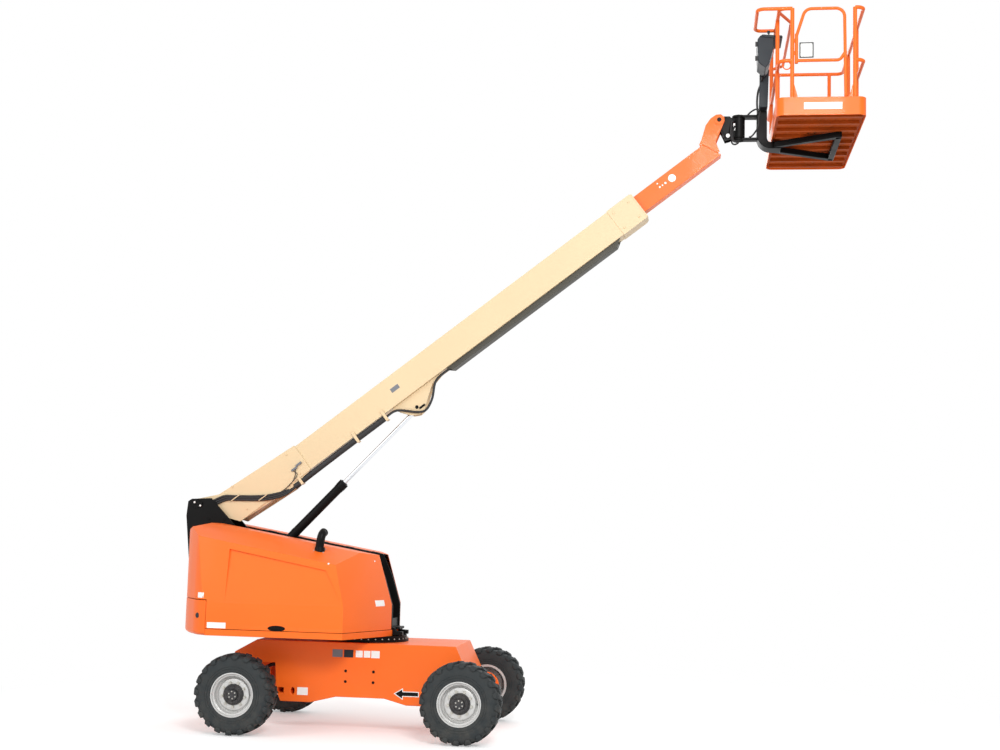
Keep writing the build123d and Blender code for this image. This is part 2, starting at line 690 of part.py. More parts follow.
def rounded_band(x0, x1, half, radius, z0, z1):
    wire = Wire.make_polygon([Vector(x0, -half, z0), Vector(x1, -half, z0), Vector(x1, half, z0), Vector(x0, half, z0)],
                             close=True)
    face = Face(wire)
    face = face.fillet_2d(radius, face.vertices())
    return Solid.extrude(face, Vector(0, 0, z1 - z0))


def basket_floor():
    inner = TOE_T + SEAT_GAP
    x0 = BASKET_X0 + inner
    x1 = BASKET_X1 - inner
    half = BASKET_HALF - inner
    plate = rounded_band(x0, x1, half, 77 - SEAT_GAP, FLOOR_Z - 6, FLOOR_Z)
    tread = rounded_band(x0 + TREAD_EDGE, x1 - TREAD_EDGE, half - TREAD_EDGE, 30, FLOOR_Z - 1, FLOOR_Z + TREAD_T)
    ribs = []
    for step in range(-4, 5):
        y = step * 0.225 * BASKET_HALF
        ribs.append(box(x0 + 30, x1 - 30, y - 25, y + 25, FLOOR_Z - 38 + SEAT_GAP, FLOOR_Z - 5))
    return fuse([plate, tread] + ribs)


def toe_band():
    outer = rounded_band(BASKET_X0, BASKET_X1, BASKET_HALF, 82, FLOOR_Z - 38, FLOOR_Z + TOE_H)
    inner = rounded_band(BASKET_X0 + TOE_T, BASKET_X1 - TOE_T, BASKET_HALF - TOE_T, 77, FLOOR_Z - 60,
                         FLOOR_Z + TOE_H + 20)
    return outer - inner


POST_R0 = RAIL_D / 2 + 1.5
RAIL_X0 = BASKET_X0 + TOE_T + POST_R0 + SEAT_GAP
RAIL_X1 = BASKET_X1 - TOE_T - POST_R0 - SEAT_GAP
RAIL_Y = BASKET_HALF - TOE_T - POST_R0 - SEAT_GAP
POST_L = 4452
POST_R = 5080
GUARD_X = 4100
STILE_X = POST_L + 42
STILE_R = RAIL_D / 2 - 2


def guard_rails():
    toe = FLOOR_Z + SEAT_GAP
    top = RAIL_Z
    bend = 70
    solids = []
    # Top rails: near end stub, long sides, far end
    solids.append(tube([(POST_R, -RAIL_Y, top), (RAIL_X1, -RAIL_Y, top), (RAIL_X1, RAIL_Y, top),
                        (RAIL_X0, RAIL_Y, top), (RAIL_X0, -RAIL_Y, top), (POST_L, -RAIL_Y, top)], RAIL_D, bend))
    solids.append(tube([(RAIL_X0 + 60, -RAIL_Y, top), (GUARD_X, -RAIL_Y, top), (GUARD_X, -430, top),
                        (RAIL_X0, -430, top)], RAIL_D - 1.6, bend))
    inner = top - 1.5
    solids.append(tube([(RAIL_X0 + 5, -RAIL_Y + 110, inner), (RAIL_X0 + 145, -RAIL_Y + 420, inner),
                        (RAIL_X0 + 145, 760, inner), (RAIL_X0 + 5, 900, inner)], RAIL_D - 5, 60))
    # Mid rails
    solids.append(tube([(POST_R, -RAIL_Y, MID_Z), (RAIL_X1, -RAIL_Y, MID_Z), (RAIL_X1, RAIL_Y, MID_Z),
                        (RAIL_X0, RAIL_Y, MID_Z), (RAIL_X0, -RAIL_Y, MID_Z), (POST_L, -RAIL_Y, MID_Z)], RAIL_D, bend))
    # Posts
    posts = [(POST_L, -RAIL_Y), (POST_R, -RAIL_Y), (POST_L - 20, RAIL_Y), (POST_R - 60, RAIL_Y),
             (RAIL_X1, -420), (RAIL_X1, 420), (RAIL_X0, -760), (RAIL_X0, 420)]
    for x, y in posts:
        solids.append(rod((x, y, toe), (x, y, top), POST_R0))
    # Gussets at the near end
    for x, way in ((POST_L, 1), (POST_R, -1)):
        gusset = side([(x, toe), (x + way * 60, toe), (x + way * 60, FLOOR_Z + TOE_H), (x + way * 18, 6770),
                       (x, 6770)], -RAIL_Y - 4, -RAIL_Y + 4)
        solids.append(gusset)
    # Hinge blocks that carry the gate's stile
    for z in (MID_Z + 60, MID_Z + 190):
        solids.append(box(POST_L + 12, STILE_X - STILE_R - SEAT_GAP, -RAIL_Y - 9, -RAIL_Y + 9, z, z + 40))
    return fuse(solids)


def control_console():
    body = side([(4125, 7190), (4150, 7500), (4280, 7502), (4280, 7190)], -760, -180)
    column = side([(4160, 6780 + SEAT_GAP), (4165, 7200), (4280, 7200), (4249, 6780 + SEAT_GAP)], -250, -20)
    return fuse([body, column])


def gate():
    """The near end's gate, hung on the left post, with its cross bar."""
    z1 = RAIL_Z - 6
    z0 = MID_Z
    y = -RAIL_Y
    loop = tube([(POST_L + 42, y, MID_Z + 260), (POST_L + 130, y, z1), (POST_R - 105, y, z1),
                 (POST_R - 92, y, FLOOR_Z + TOE_H + 10)], RAIL_D - 6, 90)
    bar = tube([(POST_L + 42, y, z0), (POST_R - 150, y, z0), (POST_R - 92, y, z0 + 90)], RAIL_D - 6, 60)
    stile = rod((STILE_X, y, z0 - 30), (STILE_X, y, MID_Z + 280), STILE_R)
    return fuse([loop, bar, stile])


TYRE = tyre_body()

WHEELS = [
    # name, x, outward side
    ("steer_near", STEER_X, -1),
    ("steer_far", STEER_X, 1),
    ("drive_near", DRIVE_X, -1),
    ("drive_far", DRIVE_X, 1),
]


def pieces():
    """Every node's name with its solids."""
    out = {
        "chassis_frame": chassis_frame(),
        "steer_axle": steer_axle(),
        "drive_axle_mounts": drive_axle_mounts(),
        "drive_motors": drive_motors(),
        "slew_ring_lower": slew_ring_lower(),
        "knuckle_near": knuckle(),
        "knuckle_far": knuckle().mirror(Plane.XZ),
        "tie_rod": tie_rod(),
        "slew_ring_upper": slew_ring_upper(),
        "turntable_deck": turntable_deck(),
        "counterweight": counterweight(),
        "boom_tower": boom_tower(),
        "tower_back": tower_back(),
        "boom_pin": boom_pin(),
        "cylinder_foot": cylinder_foot(),
        "front_fascia": front_fascia(),
        "engine_block": engine_block(),
        "side_tanks": side_tanks(),
        "hood_hinges": hood_hinges(),
        "hood_near": hood(),
        "hood_far": hood().mirror(Plane.XZ),
        "hood_handle_near": hood_handle(),
        "hood_handle_far": hood_handle().mirror(Plane.XZ),
        "exhaust_outlet": exhaust_outlet(),
        "base_boom": base_boom(),
        "wear_pads": wear_pads(),
        "hose_tray": hose_tray(),
        "hose_bundle": hose_bundle(),
        "lift_barrel": lift_barrel(),
        "lift_rod": lift_rod(),
        "fly_boom": fly_boom(),
        "fly_nose": fly_nose(),
        "head_bracket": head_bracket(),
        "rotary_actuator": rotary_actuator(),
        "platform_support": platform_support(),
        "basket_floor": basket_floor(),
        "toe_band": toe_band(),
        "guard_rails": guard_rails(),
        "control_console": control_console(),
        "gate": gate(),
    }
    for name, x, outward in WHEELS:
        out["tyre_" + name] = tyre(x, outward * WHEEL_Y, AXLE_Z, outward)
        out["rim_" + name] = rim(x, outward * WHEEL_Y, AXLE_Z, outward)
        out["hub_" + name] = hub(x, outward * WHEEL_Y, AXLE_Z, outward)
    return out


def main():
    os.makedirs("parts", exist_ok=True)
    for name, shape in pieces().items():
        solids = []
        for item in (shape if isinstance(shape, list) else [shape]):
            solids.extend(item.solids())
        moved = [s.moved(Location((SHIFT_X, 0, 0))) for s in solids]
        whole = moved[0] if len(moved) == 1 else Compound(children=moved)
        export_step(whole, "parts/" + name + ".step")


if __name__ == "__main__":
    main()
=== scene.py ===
"""Dresses the telescopic boom lift: paint, tread, hoods, trim, hoses, basket details and the studio."""

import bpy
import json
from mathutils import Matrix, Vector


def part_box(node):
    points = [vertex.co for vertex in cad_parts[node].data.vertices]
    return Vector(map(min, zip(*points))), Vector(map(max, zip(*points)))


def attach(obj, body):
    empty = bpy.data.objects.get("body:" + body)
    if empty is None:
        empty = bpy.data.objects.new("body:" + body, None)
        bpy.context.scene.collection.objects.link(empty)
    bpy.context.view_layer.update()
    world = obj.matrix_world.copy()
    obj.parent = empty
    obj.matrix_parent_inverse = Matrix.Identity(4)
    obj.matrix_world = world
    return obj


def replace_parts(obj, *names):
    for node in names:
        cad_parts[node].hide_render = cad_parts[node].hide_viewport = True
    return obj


bl_info = {
    "name": "Telescopic boom lift dressing",
    "version": (1, 0, 0),
    "blender": (4, 5, 0),
    "location": "View3D > Sidebar > Boom Lift",
    "description": "Adds finishes, tread, hoods, trim, hoses and basket details to the packed boom lift",
    "category": "Object",
}

import json
import math

import bmesh
import bpy
from bpy.props import FloatProperty, FloatVectorProperty, IntProperty, PointerProperty
from mathutils import Matrix, Vector
from mathutils.bvhtree import BVHTree

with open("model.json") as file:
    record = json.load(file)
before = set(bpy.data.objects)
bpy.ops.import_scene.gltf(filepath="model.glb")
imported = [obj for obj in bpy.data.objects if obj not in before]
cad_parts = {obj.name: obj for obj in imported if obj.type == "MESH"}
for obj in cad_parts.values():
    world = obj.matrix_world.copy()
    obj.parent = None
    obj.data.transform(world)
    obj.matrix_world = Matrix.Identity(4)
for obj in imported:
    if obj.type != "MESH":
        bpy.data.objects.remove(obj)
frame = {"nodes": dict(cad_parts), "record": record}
NODES = frame["nodes"]

# What lies on another piece stands off it by this much
SEAT_GAP = 0.0003


def middle(node):
    """The middle of a node's box."""
    low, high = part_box(node)
    return (low + high) / 2


# Places that everything is worked out from: the slew axis, the boom pivot and the wheels
SLEW = middle("slew_ring_upper")
PIVOT = middle("boom_pin")
BOOM_ANGLE = math.radians(37.7)
CYLINDER_ANGLE = math.radians(46.4)
WHEELS = ("steer_near", "steer_far", "drive_near", "drive_far")


def place(x, y, z):
    """A point given from the slew axis at ground level, in metres."""
    return Vector((SLEW.x + x, y, z))


def boom_point(s, h, y=0.0):
    """A point at length s along the boom from its pivot and h square to it."""
    c = math.cos(BOOM_ANGLE)
    n = math.sin(BOOM_ANGLE)
    return Vector((PIVOT.x + s * c - h * n, y, PIVOT.z + s * n + h * c))


# Sizes and colours that a user would change


class LiftSizes(bpy.types.PropertyGroup):
    tread_depth: FloatProperty(name="Tread depth", description="Height of the lugs over the carcass",
                               default=0.024, min=0.005, max=0.04, unit="LENGTH")
    lugs_per_side: IntProperty(name="Lugs per side", description="Tread lugs on each half of a tyre",
                               default=20, min=12, max=30)
    edge_scale: FloatProperty(name="Edge rounding", description="Scales the rounding of the plates' edges",
                              default=1.0, min=0.2, max=2.0)
    hose_diameter: FloatProperty(name="Hose diameter", description="Outside diameter of the tied hoses",
                                 default=0.018, min=0.01, max=0.03, unit="LENGTH")


class LiftColours(bpy.types.PropertyGroup):
    orange: FloatVectorProperty(name="Orange", description="Main paint", subtype="COLOR", size=3,
                                default=(0.90, 0.148, 0.010), min=0.0, max=1.0)
    cream: FloatVectorProperty(name="Cream", description="Base boom paint", subtype="COLOR", size=3,
                               default=(0.71, 0.55, 0.34), min=0.0, max=1.0)
    black: FloatVectorProperty(name="Black", description="Black paint", subtype="COLOR", size=3,
                               default=(0.005, 0.005, 0.005), min=0.0, max=1.0)
    rubber: FloatVectorProperty(name="Rubber", description="Tyre rubber", subtype="COLOR", size=3,
                                default=(0.026, 0.031, 0.033), min=0.0, max=1.0)
    silver: FloatVectorProperty(name="Silver", description="Wheel rims", subtype="COLOR", size=3,
                                default=(0.58, 0.58, 0.57), min=0.0, max=1.0)


def sizes():
    """The sizes that the panel shows."""
    return bpy.context.scene.lift_sizes


def colours():
    """The colours that the panel shows."""
    return bpy.context.scene.lift_colours


# Shader helpers and shared effects


def add(tree, kind, inputs=None, **settings):
    """One node with its settings, and its inputs given as values or as sockets to join."""
    node = tree.nodes.new(kind)
    for name, value in settings.items():
        setattr(node, name, value)
    for key, value in (inputs or {}).items():
        socket = node.inputs[key]
        if isinstance(value, bpy.types.NodeSocket):
            tree.links.new(value, socket)
        else:
            socket.default_value = value
    return node


def new_group(name, ins, outs):
    """An empty shader group with named inputs (name, kind, default) and outputs (name, kind)."""
    group = bpy.data.node_groups.new(name, "ShaderNodeTree")
    for label, kind, value in ins:
        socket = group.interface.new_socket(label, in_out="INPUT", socket_type="NodeSocket" + kind)
        if value is not None:
            socket.default_value = value
    for label, kind in outs:
        group.interface.new_socket(label, in_out="OUTPUT", socket_type="NodeSocket" + kind)
    return group, add(group, "NodeGroupInput"), add(group, "NodeGroupOutput")


def tone_drift_group():
    """Slow change of tone over a painted or moulded surface."""
    name = "tone_drift"
    if name in bpy.data.node_groups:
        return bpy.data.node_groups[name]
    group, given, out = new_group(name, [("Vector", "Vector", None), ("Colour", "Color", (1, 1, 1, 1)),
                                         ("Scale", "Float", 2.0), ("Amount", "Float", 0.06)],
                                  [("Colour", "Color"), ("Mask", "Float")])
    noise = add(group, "ShaderNodeTexNoise", {"Vector": given.outputs["Vector"],
                                              "Scale": given.outputs["Scale"], "Detail": 3.0,
                                              "Roughness": 0.55})
    mask = add(group, "ShaderNodeMapRange", {"Value": noise.outputs["Fac"], "From Min": 0.3, "From Max": 0.7})
    swing = add(group, "ShaderNodeMath", {0: mask.outputs["Result"], 1: 0.5}, operation="SUBTRACT")
    gain = add(group, "ShaderNodeMath", {0: swing.outputs[0], 1: given.outputs["Amount"], 2: 1.0},
               operation="MULTIPLY_ADD")
    toned = add(group, "ShaderNodeVectorMath", {0: given.outputs["Colour"], "Scale": gain.outputs[0]},
                operation="SCALE")
    group.links.new(toned.outputs[0], out.inputs["Colour"])
    group.links.new(mask.outputs["Result"], out.inputs["Mask"])
    return group


def fine_relief_group():
    """A fine grain or orange-peel relief as a normal."""
    name = "fine_relief"
    if name in bpy.data.node_groups:
        return bpy.data.node_groups[name]
    group, given, out = new_group(name, [("Vector", "Vector", None), ("Scale", "Float", 200.0),
                                         ("Strength", "Float", 0.05), ("Distance", "Float", 0.001)],
                                  [("Normal", "Vector"), ("Mask", "Float")])
    noise = add(group, "ShaderNodeTexNoise", {"Vector": given.outputs["Vector"],
                                              "Scale": given.outputs["Scale"], "Detail": 2.0})
    bump = add(group, "ShaderNodeBump", {"Height": noise.outputs["Fac"],
                                         "Strength": given.outputs["Strength"],
                                         "Distance": given.outputs["Distance"]})
    group.links.new(bump.outputs[0], out.inputs["Normal"])
    group.links.new(noise.outputs["Fac"], out.inputs["Mask"])
    return group


def road_dust_group():
    """Dust that gathers low down, in patches."""
    name = "road_dust"
    if name in bpy.data.node_groups:
        return bpy.data.node_groups[name]
    group, given, out = new_group(name, [("Vector", "Vector", None), ("Colour", "Color", (1, 1, 1, 1)),
                                         ("Dust", "Color", (0.30, 0.26, 0.21, 1)), ("Reach", "Float", 0.9),
                                         ("Amount", "Float", 0.25)],
                                  [("Colour", "Color"), ("Mask", "Float")])
    split = add(group, "ShaderNodeSeparateXYZ", {0: given.outputs["Vector"]})
    low = add(group, "ShaderNodeMapRange", {"Value": split.outputs["Z"], "From Min": given.outputs["Reach"],
                                            "From Max": 0.0})
    noise = add(group, "ShaderNodeTexNoise", {"Vector": given.outputs["Vector"], "Scale": 9.0, "Detail": 6.0,
                                              "Roughness": 0.65})
    patch = add(group, "ShaderNodeMapRange", {"Value": noise.outputs["Fac"], "From Min": 0.38,
                                              "From Max": 0.72})
    both = add(group, "ShaderNodeMath", {0: low.outputs["Result"], 1: patch.outputs["Result"]},
               operation="MULTIPLY")
    share = add(group, "ShaderNodeMath", {0: both.outputs[0], 1: given.outputs["Amount"]},
                operation="MULTIPLY")
    mix = group.nodes.new("ShaderNodeMix")
    mix.data_type = "RGBA"
    group.links.new(share.outputs[0], mix.inputs["Factor"])
    group.links.new(given.outputs["Colour"], mix.inputs[6])
    group.links.new(given.outputs["Dust"], mix.inputs[7])
    group.links.new(mix.outputs[2], out.inputs["Colour"])
    group.links.new(share.outputs[0], out.inputs["Mask"])
    return group


def use_group(tree, group, inputs):
    """A group node in the tree, with each of its inputs linked or set."""
    node = tree.nodes.new("ShaderNodeGroup")
    node.node_tree = group
    for key, value in inputs.items():
        if isinstance(value, bpy.types.NodeSocket):
            tree.links.new(value, node.inputs[key])
        else:
            node.inputs[key].default_value = value
    return node


def base_material(name, colour, roughness, rough_swing, drift=0.06, drift_scale=2.0, relief=0.04,
                  relief_scale=220.0, relief_distance=0.001, dust=0.0, metallic=0.0, coat=0.0, specular=0.5):
    """A Principled finish with drift of tone, fine relief, uneven gloss and some dust."""
    material = bpy.data.materials.new(name)
    material.use_nodes = True
    tree = material.node_tree
    shader = tree.nodes["Principled BSDF"]
    coords = add(tree, "ShaderNodeTexCoord").outputs["Object"]
    toned = use_group(tree, tone_drift_group(), {"Vector": coords, "Colour": (*colour, 1),
                                                 "Scale": drift_scale, "Amount": drift})
    last = toned.outputs["Colour"]
    if dust:
        dusty = use_group(tree, road_dust_group(), {"Vector": coords, "Colour": last, "Amount": dust})
        last = dusty.outputs["Colour"]
    grain = use_group(tree, fine_relief_group(), {"Vector": coords, "Scale": relief_scale, "Strength": relief,
                                                  "Distance": relief_distance})
    gloss = add(tree, "ShaderNodeMapRange", {"Value": toned.outputs["Mask"],
                                             "To Min": roughness - rough_swing,
                                             "To Max": roughness + rough_swing})
    tree.links.new(last, shader.inputs["Base Color"])
    tree.links.new(gloss.outputs["Result"], shader.inputs["Roughness"])
    tree.links.new(grain.outputs["Normal"], shader.inputs["Normal"])
    shader.inputs["Metallic"].default_value = metallic
    shader.inputs["Coat Weight"].default_value = coat
    shader.inputs["Coat Roughness"].default_value = 0.06
    shader.inputs["Specular IOR Level"].default_value = specular
    return material


def orange_paint():
    return base_material("orange_paint", colours().orange, 0.46, 0.05, drift=0.05, drift_scale=1.3,
                         relief=0.05, relief_scale=260.0, dust=0.05, coat=0.08, specular=0.3)


def shaded_orange():
    """The main orange darkened to 0.42 as painted shade on the basket's floor and ribs, whose underside the
    white floor would otherwise light up.
    """
    # Painted shade: the main orange at 0.42 of its brightness
    painted_shade_colour = tuple(0.42 * c for c in colours().orange)
    return base_material("shaded_orange", painted_shade_colour, 0.6, 0.08, drift=0.35, drift_scale=5.0, relief=0.12,
                         relief_scale=260.0, dust=0.15, specular=0.15)


def cream_paint():
    return base_material("cream_paint", colours().cream, 0.42, 0.05, drift=0.04, drift_scale=1.1, relief=0.05,
                         relief_scale=240.0, coat=0.05, specular=0.3)


def black_paint():
    return base_material("black_paint", colours().black, 0.42, 0.07, drift=0.3, drift_scale=3.0, relief=0.06,
                         relief_scale=200.0, dust=0.008, coat=0.0, specular=0.10)


def dark_olive_paint():
    return base_material("dark_olive_paint", (0.045, 0.042, 0.030), 0.55, 0.08, drift=0.3, drift_scale=4.0)


def black_rubber():
    return base_material("black_rubber", (0.014, 0.014, 0.015), 0.62, 0.08, drift=0.3, drift_scale=12.0,
                         relief=0.12, relief_scale=400.0)


def tyre_rubber():
    return base_material("tyre", colours().rubber, 0.72, 0.1, drift=0.35, drift_scale=7.0, relief=0.35,
                         relief_scale=150.0, relief_distance=0.002, dust=0.14, specular=0.25)


def silver_rim():
    return base_material("silver_rim", colours().silver, 0.42, 0.06, drift=0.08, drift_scale=8.0, relief=0.08,
                         relief_scale=180.0, dust=0.18, metallic=0.35)


def hub_iron():
    return base_material("hub_iron", (0.018, 0.018, 0.02), 0.48, 0.08, drift=0.3, drift_scale=14.0,
                         relief=0.2, relief_scale=120.0, dust=0.2)


def chrome_rod():
    return base_material("chrome_rod", (0.72, 0.74, 0.77), 0.12, 0.04, drift=0.05, drift_scale=3.0,
                         relief=0.01, metallic=1.0)


def dark_plastic():
    return base_material("dark_plastic", (0.016, 0.022, 0.028), 0.5, 0.06, drift=0.2, drift_scale=6.0,
                         relief=0.15, relief_scale=500.0, specular=0.25)


def label_white():
    return base_material("label_white", (0.85, 0.85, 0.83), 0.35, 0.04, drift=0.04, relief=0.01)


def plate_grey():
    return base_material("plate_grey", (0.16, 0.17, 0.19), 0.4, 0.04, drift=0.1, relief=0.02)


def zinc_bolt():
    return base_material("zinc_bolt", (0.50, 0.49, 0.45), 0.36, 0.06, drift=0.15, drift_scale=30.0,
                         relief=0.05, metallic=0.9)


FINISHES = {
    "orange_paint": orange_paint,
    "shaded_orange": shaded_orange,
    "cream_paint": cream_paint,
    "black_paint": black_paint,
    "dark_olive_paint": dark_olive_paint,
    "black_rubber": black_rubber,
    "tyre": tyre_rubber,
    "silver_rim": silver_rim,
    "hub_iron": hub_iron,
    "chrome_rod": chrome_rod,
    "dark_plastic": dark_plastic,
    "label_white": label_white,
    "plate_grey": plate_grey,
    "zinc_bolt": zinc_bolt,
}


def finish(name):
    """The finish's material, made when it is first asked for."""
    found = bpy.data.materials.get("lift_" + name)
    if found is None:
        found = FINISHES[name]()
        found.name = "lift_" + name
    return found


# Mesh helpers


def frame_from(direction, hint=Vector((0, 0, 1))):
    """Two unit vectors square to a direction."""
    d = direction.normalized()
    if abs(d.dot(hint)) > 0.98:
        hint = Vector((0, 1, 0))
    side = d.cross(hint).normalized()
    return side, side.cross(d).normalized()


def add_prism(bm, corners, offset):
    """A solid from a ring of points and the same ring moved by offset."""
    low = [bm.verts.new(p) for p in corners]
    high = [bm.verts.new(Vector(p) + offset) for p in corners]
    bm.faces.new(low)
    bm.faces.new(list(reversed(high)))
    count = len(corners)
    for i in range(count):
        j = (i + 1) % count
        bm.faces.new((low[i], high[i], high[j], low[j]))


def add_box(bm, low, high):
    """A box between two opposite corners."""
    x0, y0, z0 = low
    x1, y1, z1 = high
    add_prism(bm, [(x0, y0, z0), (x1, y0, z0), (x1, y1, z0), (x0, y1, z0)], Vector((0, 0, z1 - z0)))


def add_bar(bm, start, end, radius, sides=16, end_radius=None):
    """A round bar or cone between two points."""
    start = Vector(start)
    end = Vector(end)
    u, v = frame_from(end - start)
    rings = []
    for point, r in ((start, radius), (end, radius if end_radius is None else end_radius)):
        turns = [2 * math.pi * i / sides for i in range(sides)]
        rings.append([bm.verts.new(point + r * (math.cos(t) * u + math.sin(t) * v)) for t in turns])
    bm.faces.new(rings[0])
    bm.faces.new(list(reversed(rings[1])))
    for i in range(sides):
        j = (i + 1) % sides
        bm.faces.new((rings[0][i], rings[1][i], rings[1][j], rings[0][j]))


def add_turned(bm, profile, centre, outward, sides=64):
    """A ring turned about the wheel's axis from closed radius, outward pairs."""
    rings = []
    for r, w in profile:
        if r < 1e-6:
            rings.append([bm.verts.new((centre.x, centre.y + outward * w, centre.z))] * sides)
            continue
        rings.append([bm.verts.new((centre.x + r * math.cos(2 * math.pi * i / sides), centre.y + outward * w,
                                    centre.z + r * math.sin(2 * math.pi * i / sides))) for i in range(sides)])
    count = len(profile)
    for a in range(count):
        b = (a + 1) % count
        for i in range(sides):
            j = (i + 1) % sides
            quad = []
            for vert in (rings[a][i], rings[a][j], rings[b][j], rings[b][i]):
                if vert not in quad:
                    quad.append(vert)
            if len(quad) > 2:
                bm.faces.new(quad)


def smooth_path(points, per_span=8):
    """Points along a curve that passes through the given ones."""
    knots = [Vector(p) for p in points]
    knots = [knots[0] * 2 - knots[1]] + knots + [knots[-1] * 2 - knots[-2]]
    out = []
    for i in range(1, len(knots) - 2):
        p0, p1, p2, p3 = knots[i - 1:i + 3]
        for k in range(per_span):
            t = k / per_span
            out.append(0.5 * ((2 * p1) + (p2 - p0) * t + (2 * p0 - 5 * p1 + 4 * p2 - p3) * t * t
                              + (3 * p1 - p0 - 3 * p2 + p3) * t * t * t))
    out.append(knots[-2])
    return out


def add_pipe(bm, path, radius, sides=10):
    """A closed round pipe along a path."""
    side = None
    rings = []
    for i, point in enumerate(path):
        before = path[max(i - 1, 0)]
        after = path[min(i + 1, len(path) - 1)]
        d = (after - before).normalized()
        if side is None:
            side = frame_from(d)[0]
        side = (side - d * side.dot(d)).normalized()
        up = side.cross(d)
        rings.append([bm.verts.new(point + radius * (math.cos(2 * math.pi * k / sides) * side
                                                     + math.sin(2 * math.pi * k / sides) * up))
                      for k in range(sides)])
    for a, b in zip(rings, rings[1:]):
        for i in range(sides):
            j = (i + 1) % sides
            bm.faces.new((a[i], b[i], b[j], a[j]))
    bm.faces.new(rings[0])
    bm.faces.new(list(reversed(rings[-1])))


def piece(name, bm, body, coat, smooth=35.0, bevel=0.0, bevel_parts=2):
    """Turns a built mesh into a named piece that rides on a body and wears a finish."""
    bmesh.ops.recalc_face_normals(bm, faces=bm.faces)
    mesh = bpy.data.meshes.new(name)
    bm.to_mesh(mesh)
    bm.free()
    obj = bpy.data.objects.new(name, mesh)
    bpy.context.scene.collection.objects.link(obj)
    mesh.materials.append(finish(coat))
    mesh.shade_smooth()
    mesh.set_sharp_from_angle(angle=math.radians(smooth))
    if bevel:
        rounding = obj.modifiers.new("edges", "BEVEL")
        rounding.width = bevel
        rounding.segments = bevel_parts
        rounding.limit_method = "ANGLE"
        rounding.angle_limit = math.radians(30)
        rounding.harden_normals = False
    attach(obj, body)
    return obj


# Geometry Nodes for what repeats


def ring_tree():
    """Copies the given piece round an axis through the origin, then moves the ring to its centre."""
    name = "ring_about_axis"
    if name in bpy.data.node_groups:
        return bpy.data.node_groups[name]
    tree = bpy.data.node_groups.new(name, "GeometryNodeTree")
    face = tree.interface
    face.new_socket("Geometry", in_out="INPUT", socket_type="NodeSocketGeometry")
    face.new_socket("Count", in_out="INPUT", socket_type="NodeSocketInt").default_value = 8
    face.new_socket("First angle", in_out="INPUT", socket_type="NodeSocketFloat").default_value = 0.0
    face.new_socket("Centre", in_out="INPUT", socket_type="NodeSocketVector")
    face.new_socket("Axis", in_out="INPUT", socket_type="NodeSocketVector").default_value = (0, 1, 0)
    face.new_socket("Material", in_out="INPUT", socket_type="NodeSocketMaterial")
    face.new_socket("Geometry", in_out="OUTPUT", socket_type="NodeSocketGeometry")
    given = add(tree, "NodeGroupInput").outputs
    dots = add(tree, "GeometryNodePoints", {"Count": given["Count"]})
    index = add(tree, "GeometryNodeInputIndex")
    step = add(tree, "ShaderNodeMath", {0: 2 * math.pi, 1: given["Count"]}, operation="DIVIDE")
    angle = add(tree, "ShaderNodeMath", {0: index.outputs[0], 1: step.outputs[0], 2: given["First angle"]},
                operation="MULTIPLY_ADD")
    turn = add(tree, "ShaderNodeVectorMath", {0: given["Axis"], "Scale": angle.outputs[0]}, operation="SCALE")
    copies = add(tree, "GeometryNodeInstanceOnPoints",
                 {"Points": dots.outputs[0], "Instance": given["Geometry"], "Rotation": turn.outputs[0]})
    real = add(tree, "GeometryNodeRealizeInstances", {0: copies.outputs[0]})
    moved = add(tree, "GeometryNodeTransform", {"Geometry": real.outputs[0], "Translation": given["Centre"]})
    painted = add(tree, "GeometryNodeSetMaterial", {"Geometry": moved.outputs[0],
                                                    "Material": given["Material"]})
    add(tree, "NodeGroupOutput", {0: painted.outputs[0]})
    return tree


def row_tree():
    """Copies the given piece in a grid of two steps from where it stands."""
    name = "rows_by_step"
    if name in bpy.data.node_groups:
        return bpy.data.node_groups[name]
    tree = bpy.data.node_groups.new(name, "GeometryNodeTree")
    face = tree.interface
    face.new_socket("Geometry", in_out="INPUT", socket_type="NodeSocketGeometry")
    face.new_socket("Count", in_out="INPUT", socket_type="NodeSocketInt").default_value = 2
    face.new_socket("Per row", in_out="INPUT", socket_type="NodeSocketInt").default_value = 2
    face.new_socket("Step", in_out="INPUT", socket_type="NodeSocketVector")
    face.new_socket("Row step", in_out="INPUT", socket_type="NodeSocketVector")
    face.new_socket("Material", in_out="INPUT", socket_type="NodeSocketMaterial")
    face.new_socket("Geometry", in_out="OUTPUT", socket_type="NodeSocketGeometry")
    given = add(tree, "NodeGroupInput").outputs
    index = add(tree, "GeometryNodeInputIndex").outputs[0]
    along = add(tree, "ShaderNodeMath", {0: index, 1: given["Per row"]}, operation="MODULO")
    ratio = add(tree, "ShaderNodeMath", {0: index, 1: given["Per row"]}, operation="DIVIDE")
    row = add(tree, "ShaderNodeMath", {0: ratio.outputs[0]}, operation="FLOOR")
    one = add(tree, "ShaderNodeVectorMath", {0: given["Step"], "Scale": along.outputs[0]}, operation="SCALE")
    two = add(tree, "ShaderNodeVectorMath", {0: given["Row step"], "Scale": row.outputs[0]},
              operation="SCALE")
    where = add(tree, "ShaderNodeVectorMath", {0: one.outputs[0], 1: two.outputs[0]}, operation="ADD")
    dots = add(tree, "GeometryNodePoints", {"Count": given["Count"], "Position": where.outputs[0]})
    copies = add(tree, "GeometryNodeInstanceOnPoints",
                 {"Points": dots.outputs[0], "Instance": given["Geometry"]})
    real = add(tree, "GeometryNodeRealizeInstances", {0: copies.outputs[0]})
    painted = add(tree, "GeometryNodeSetMaterial", {"Geometry": real.outputs[0],
                                                    "Material": given["Material"]})
    add(tree, "NodeGroupOutput", {0: painted.outputs[0]})
    return tree


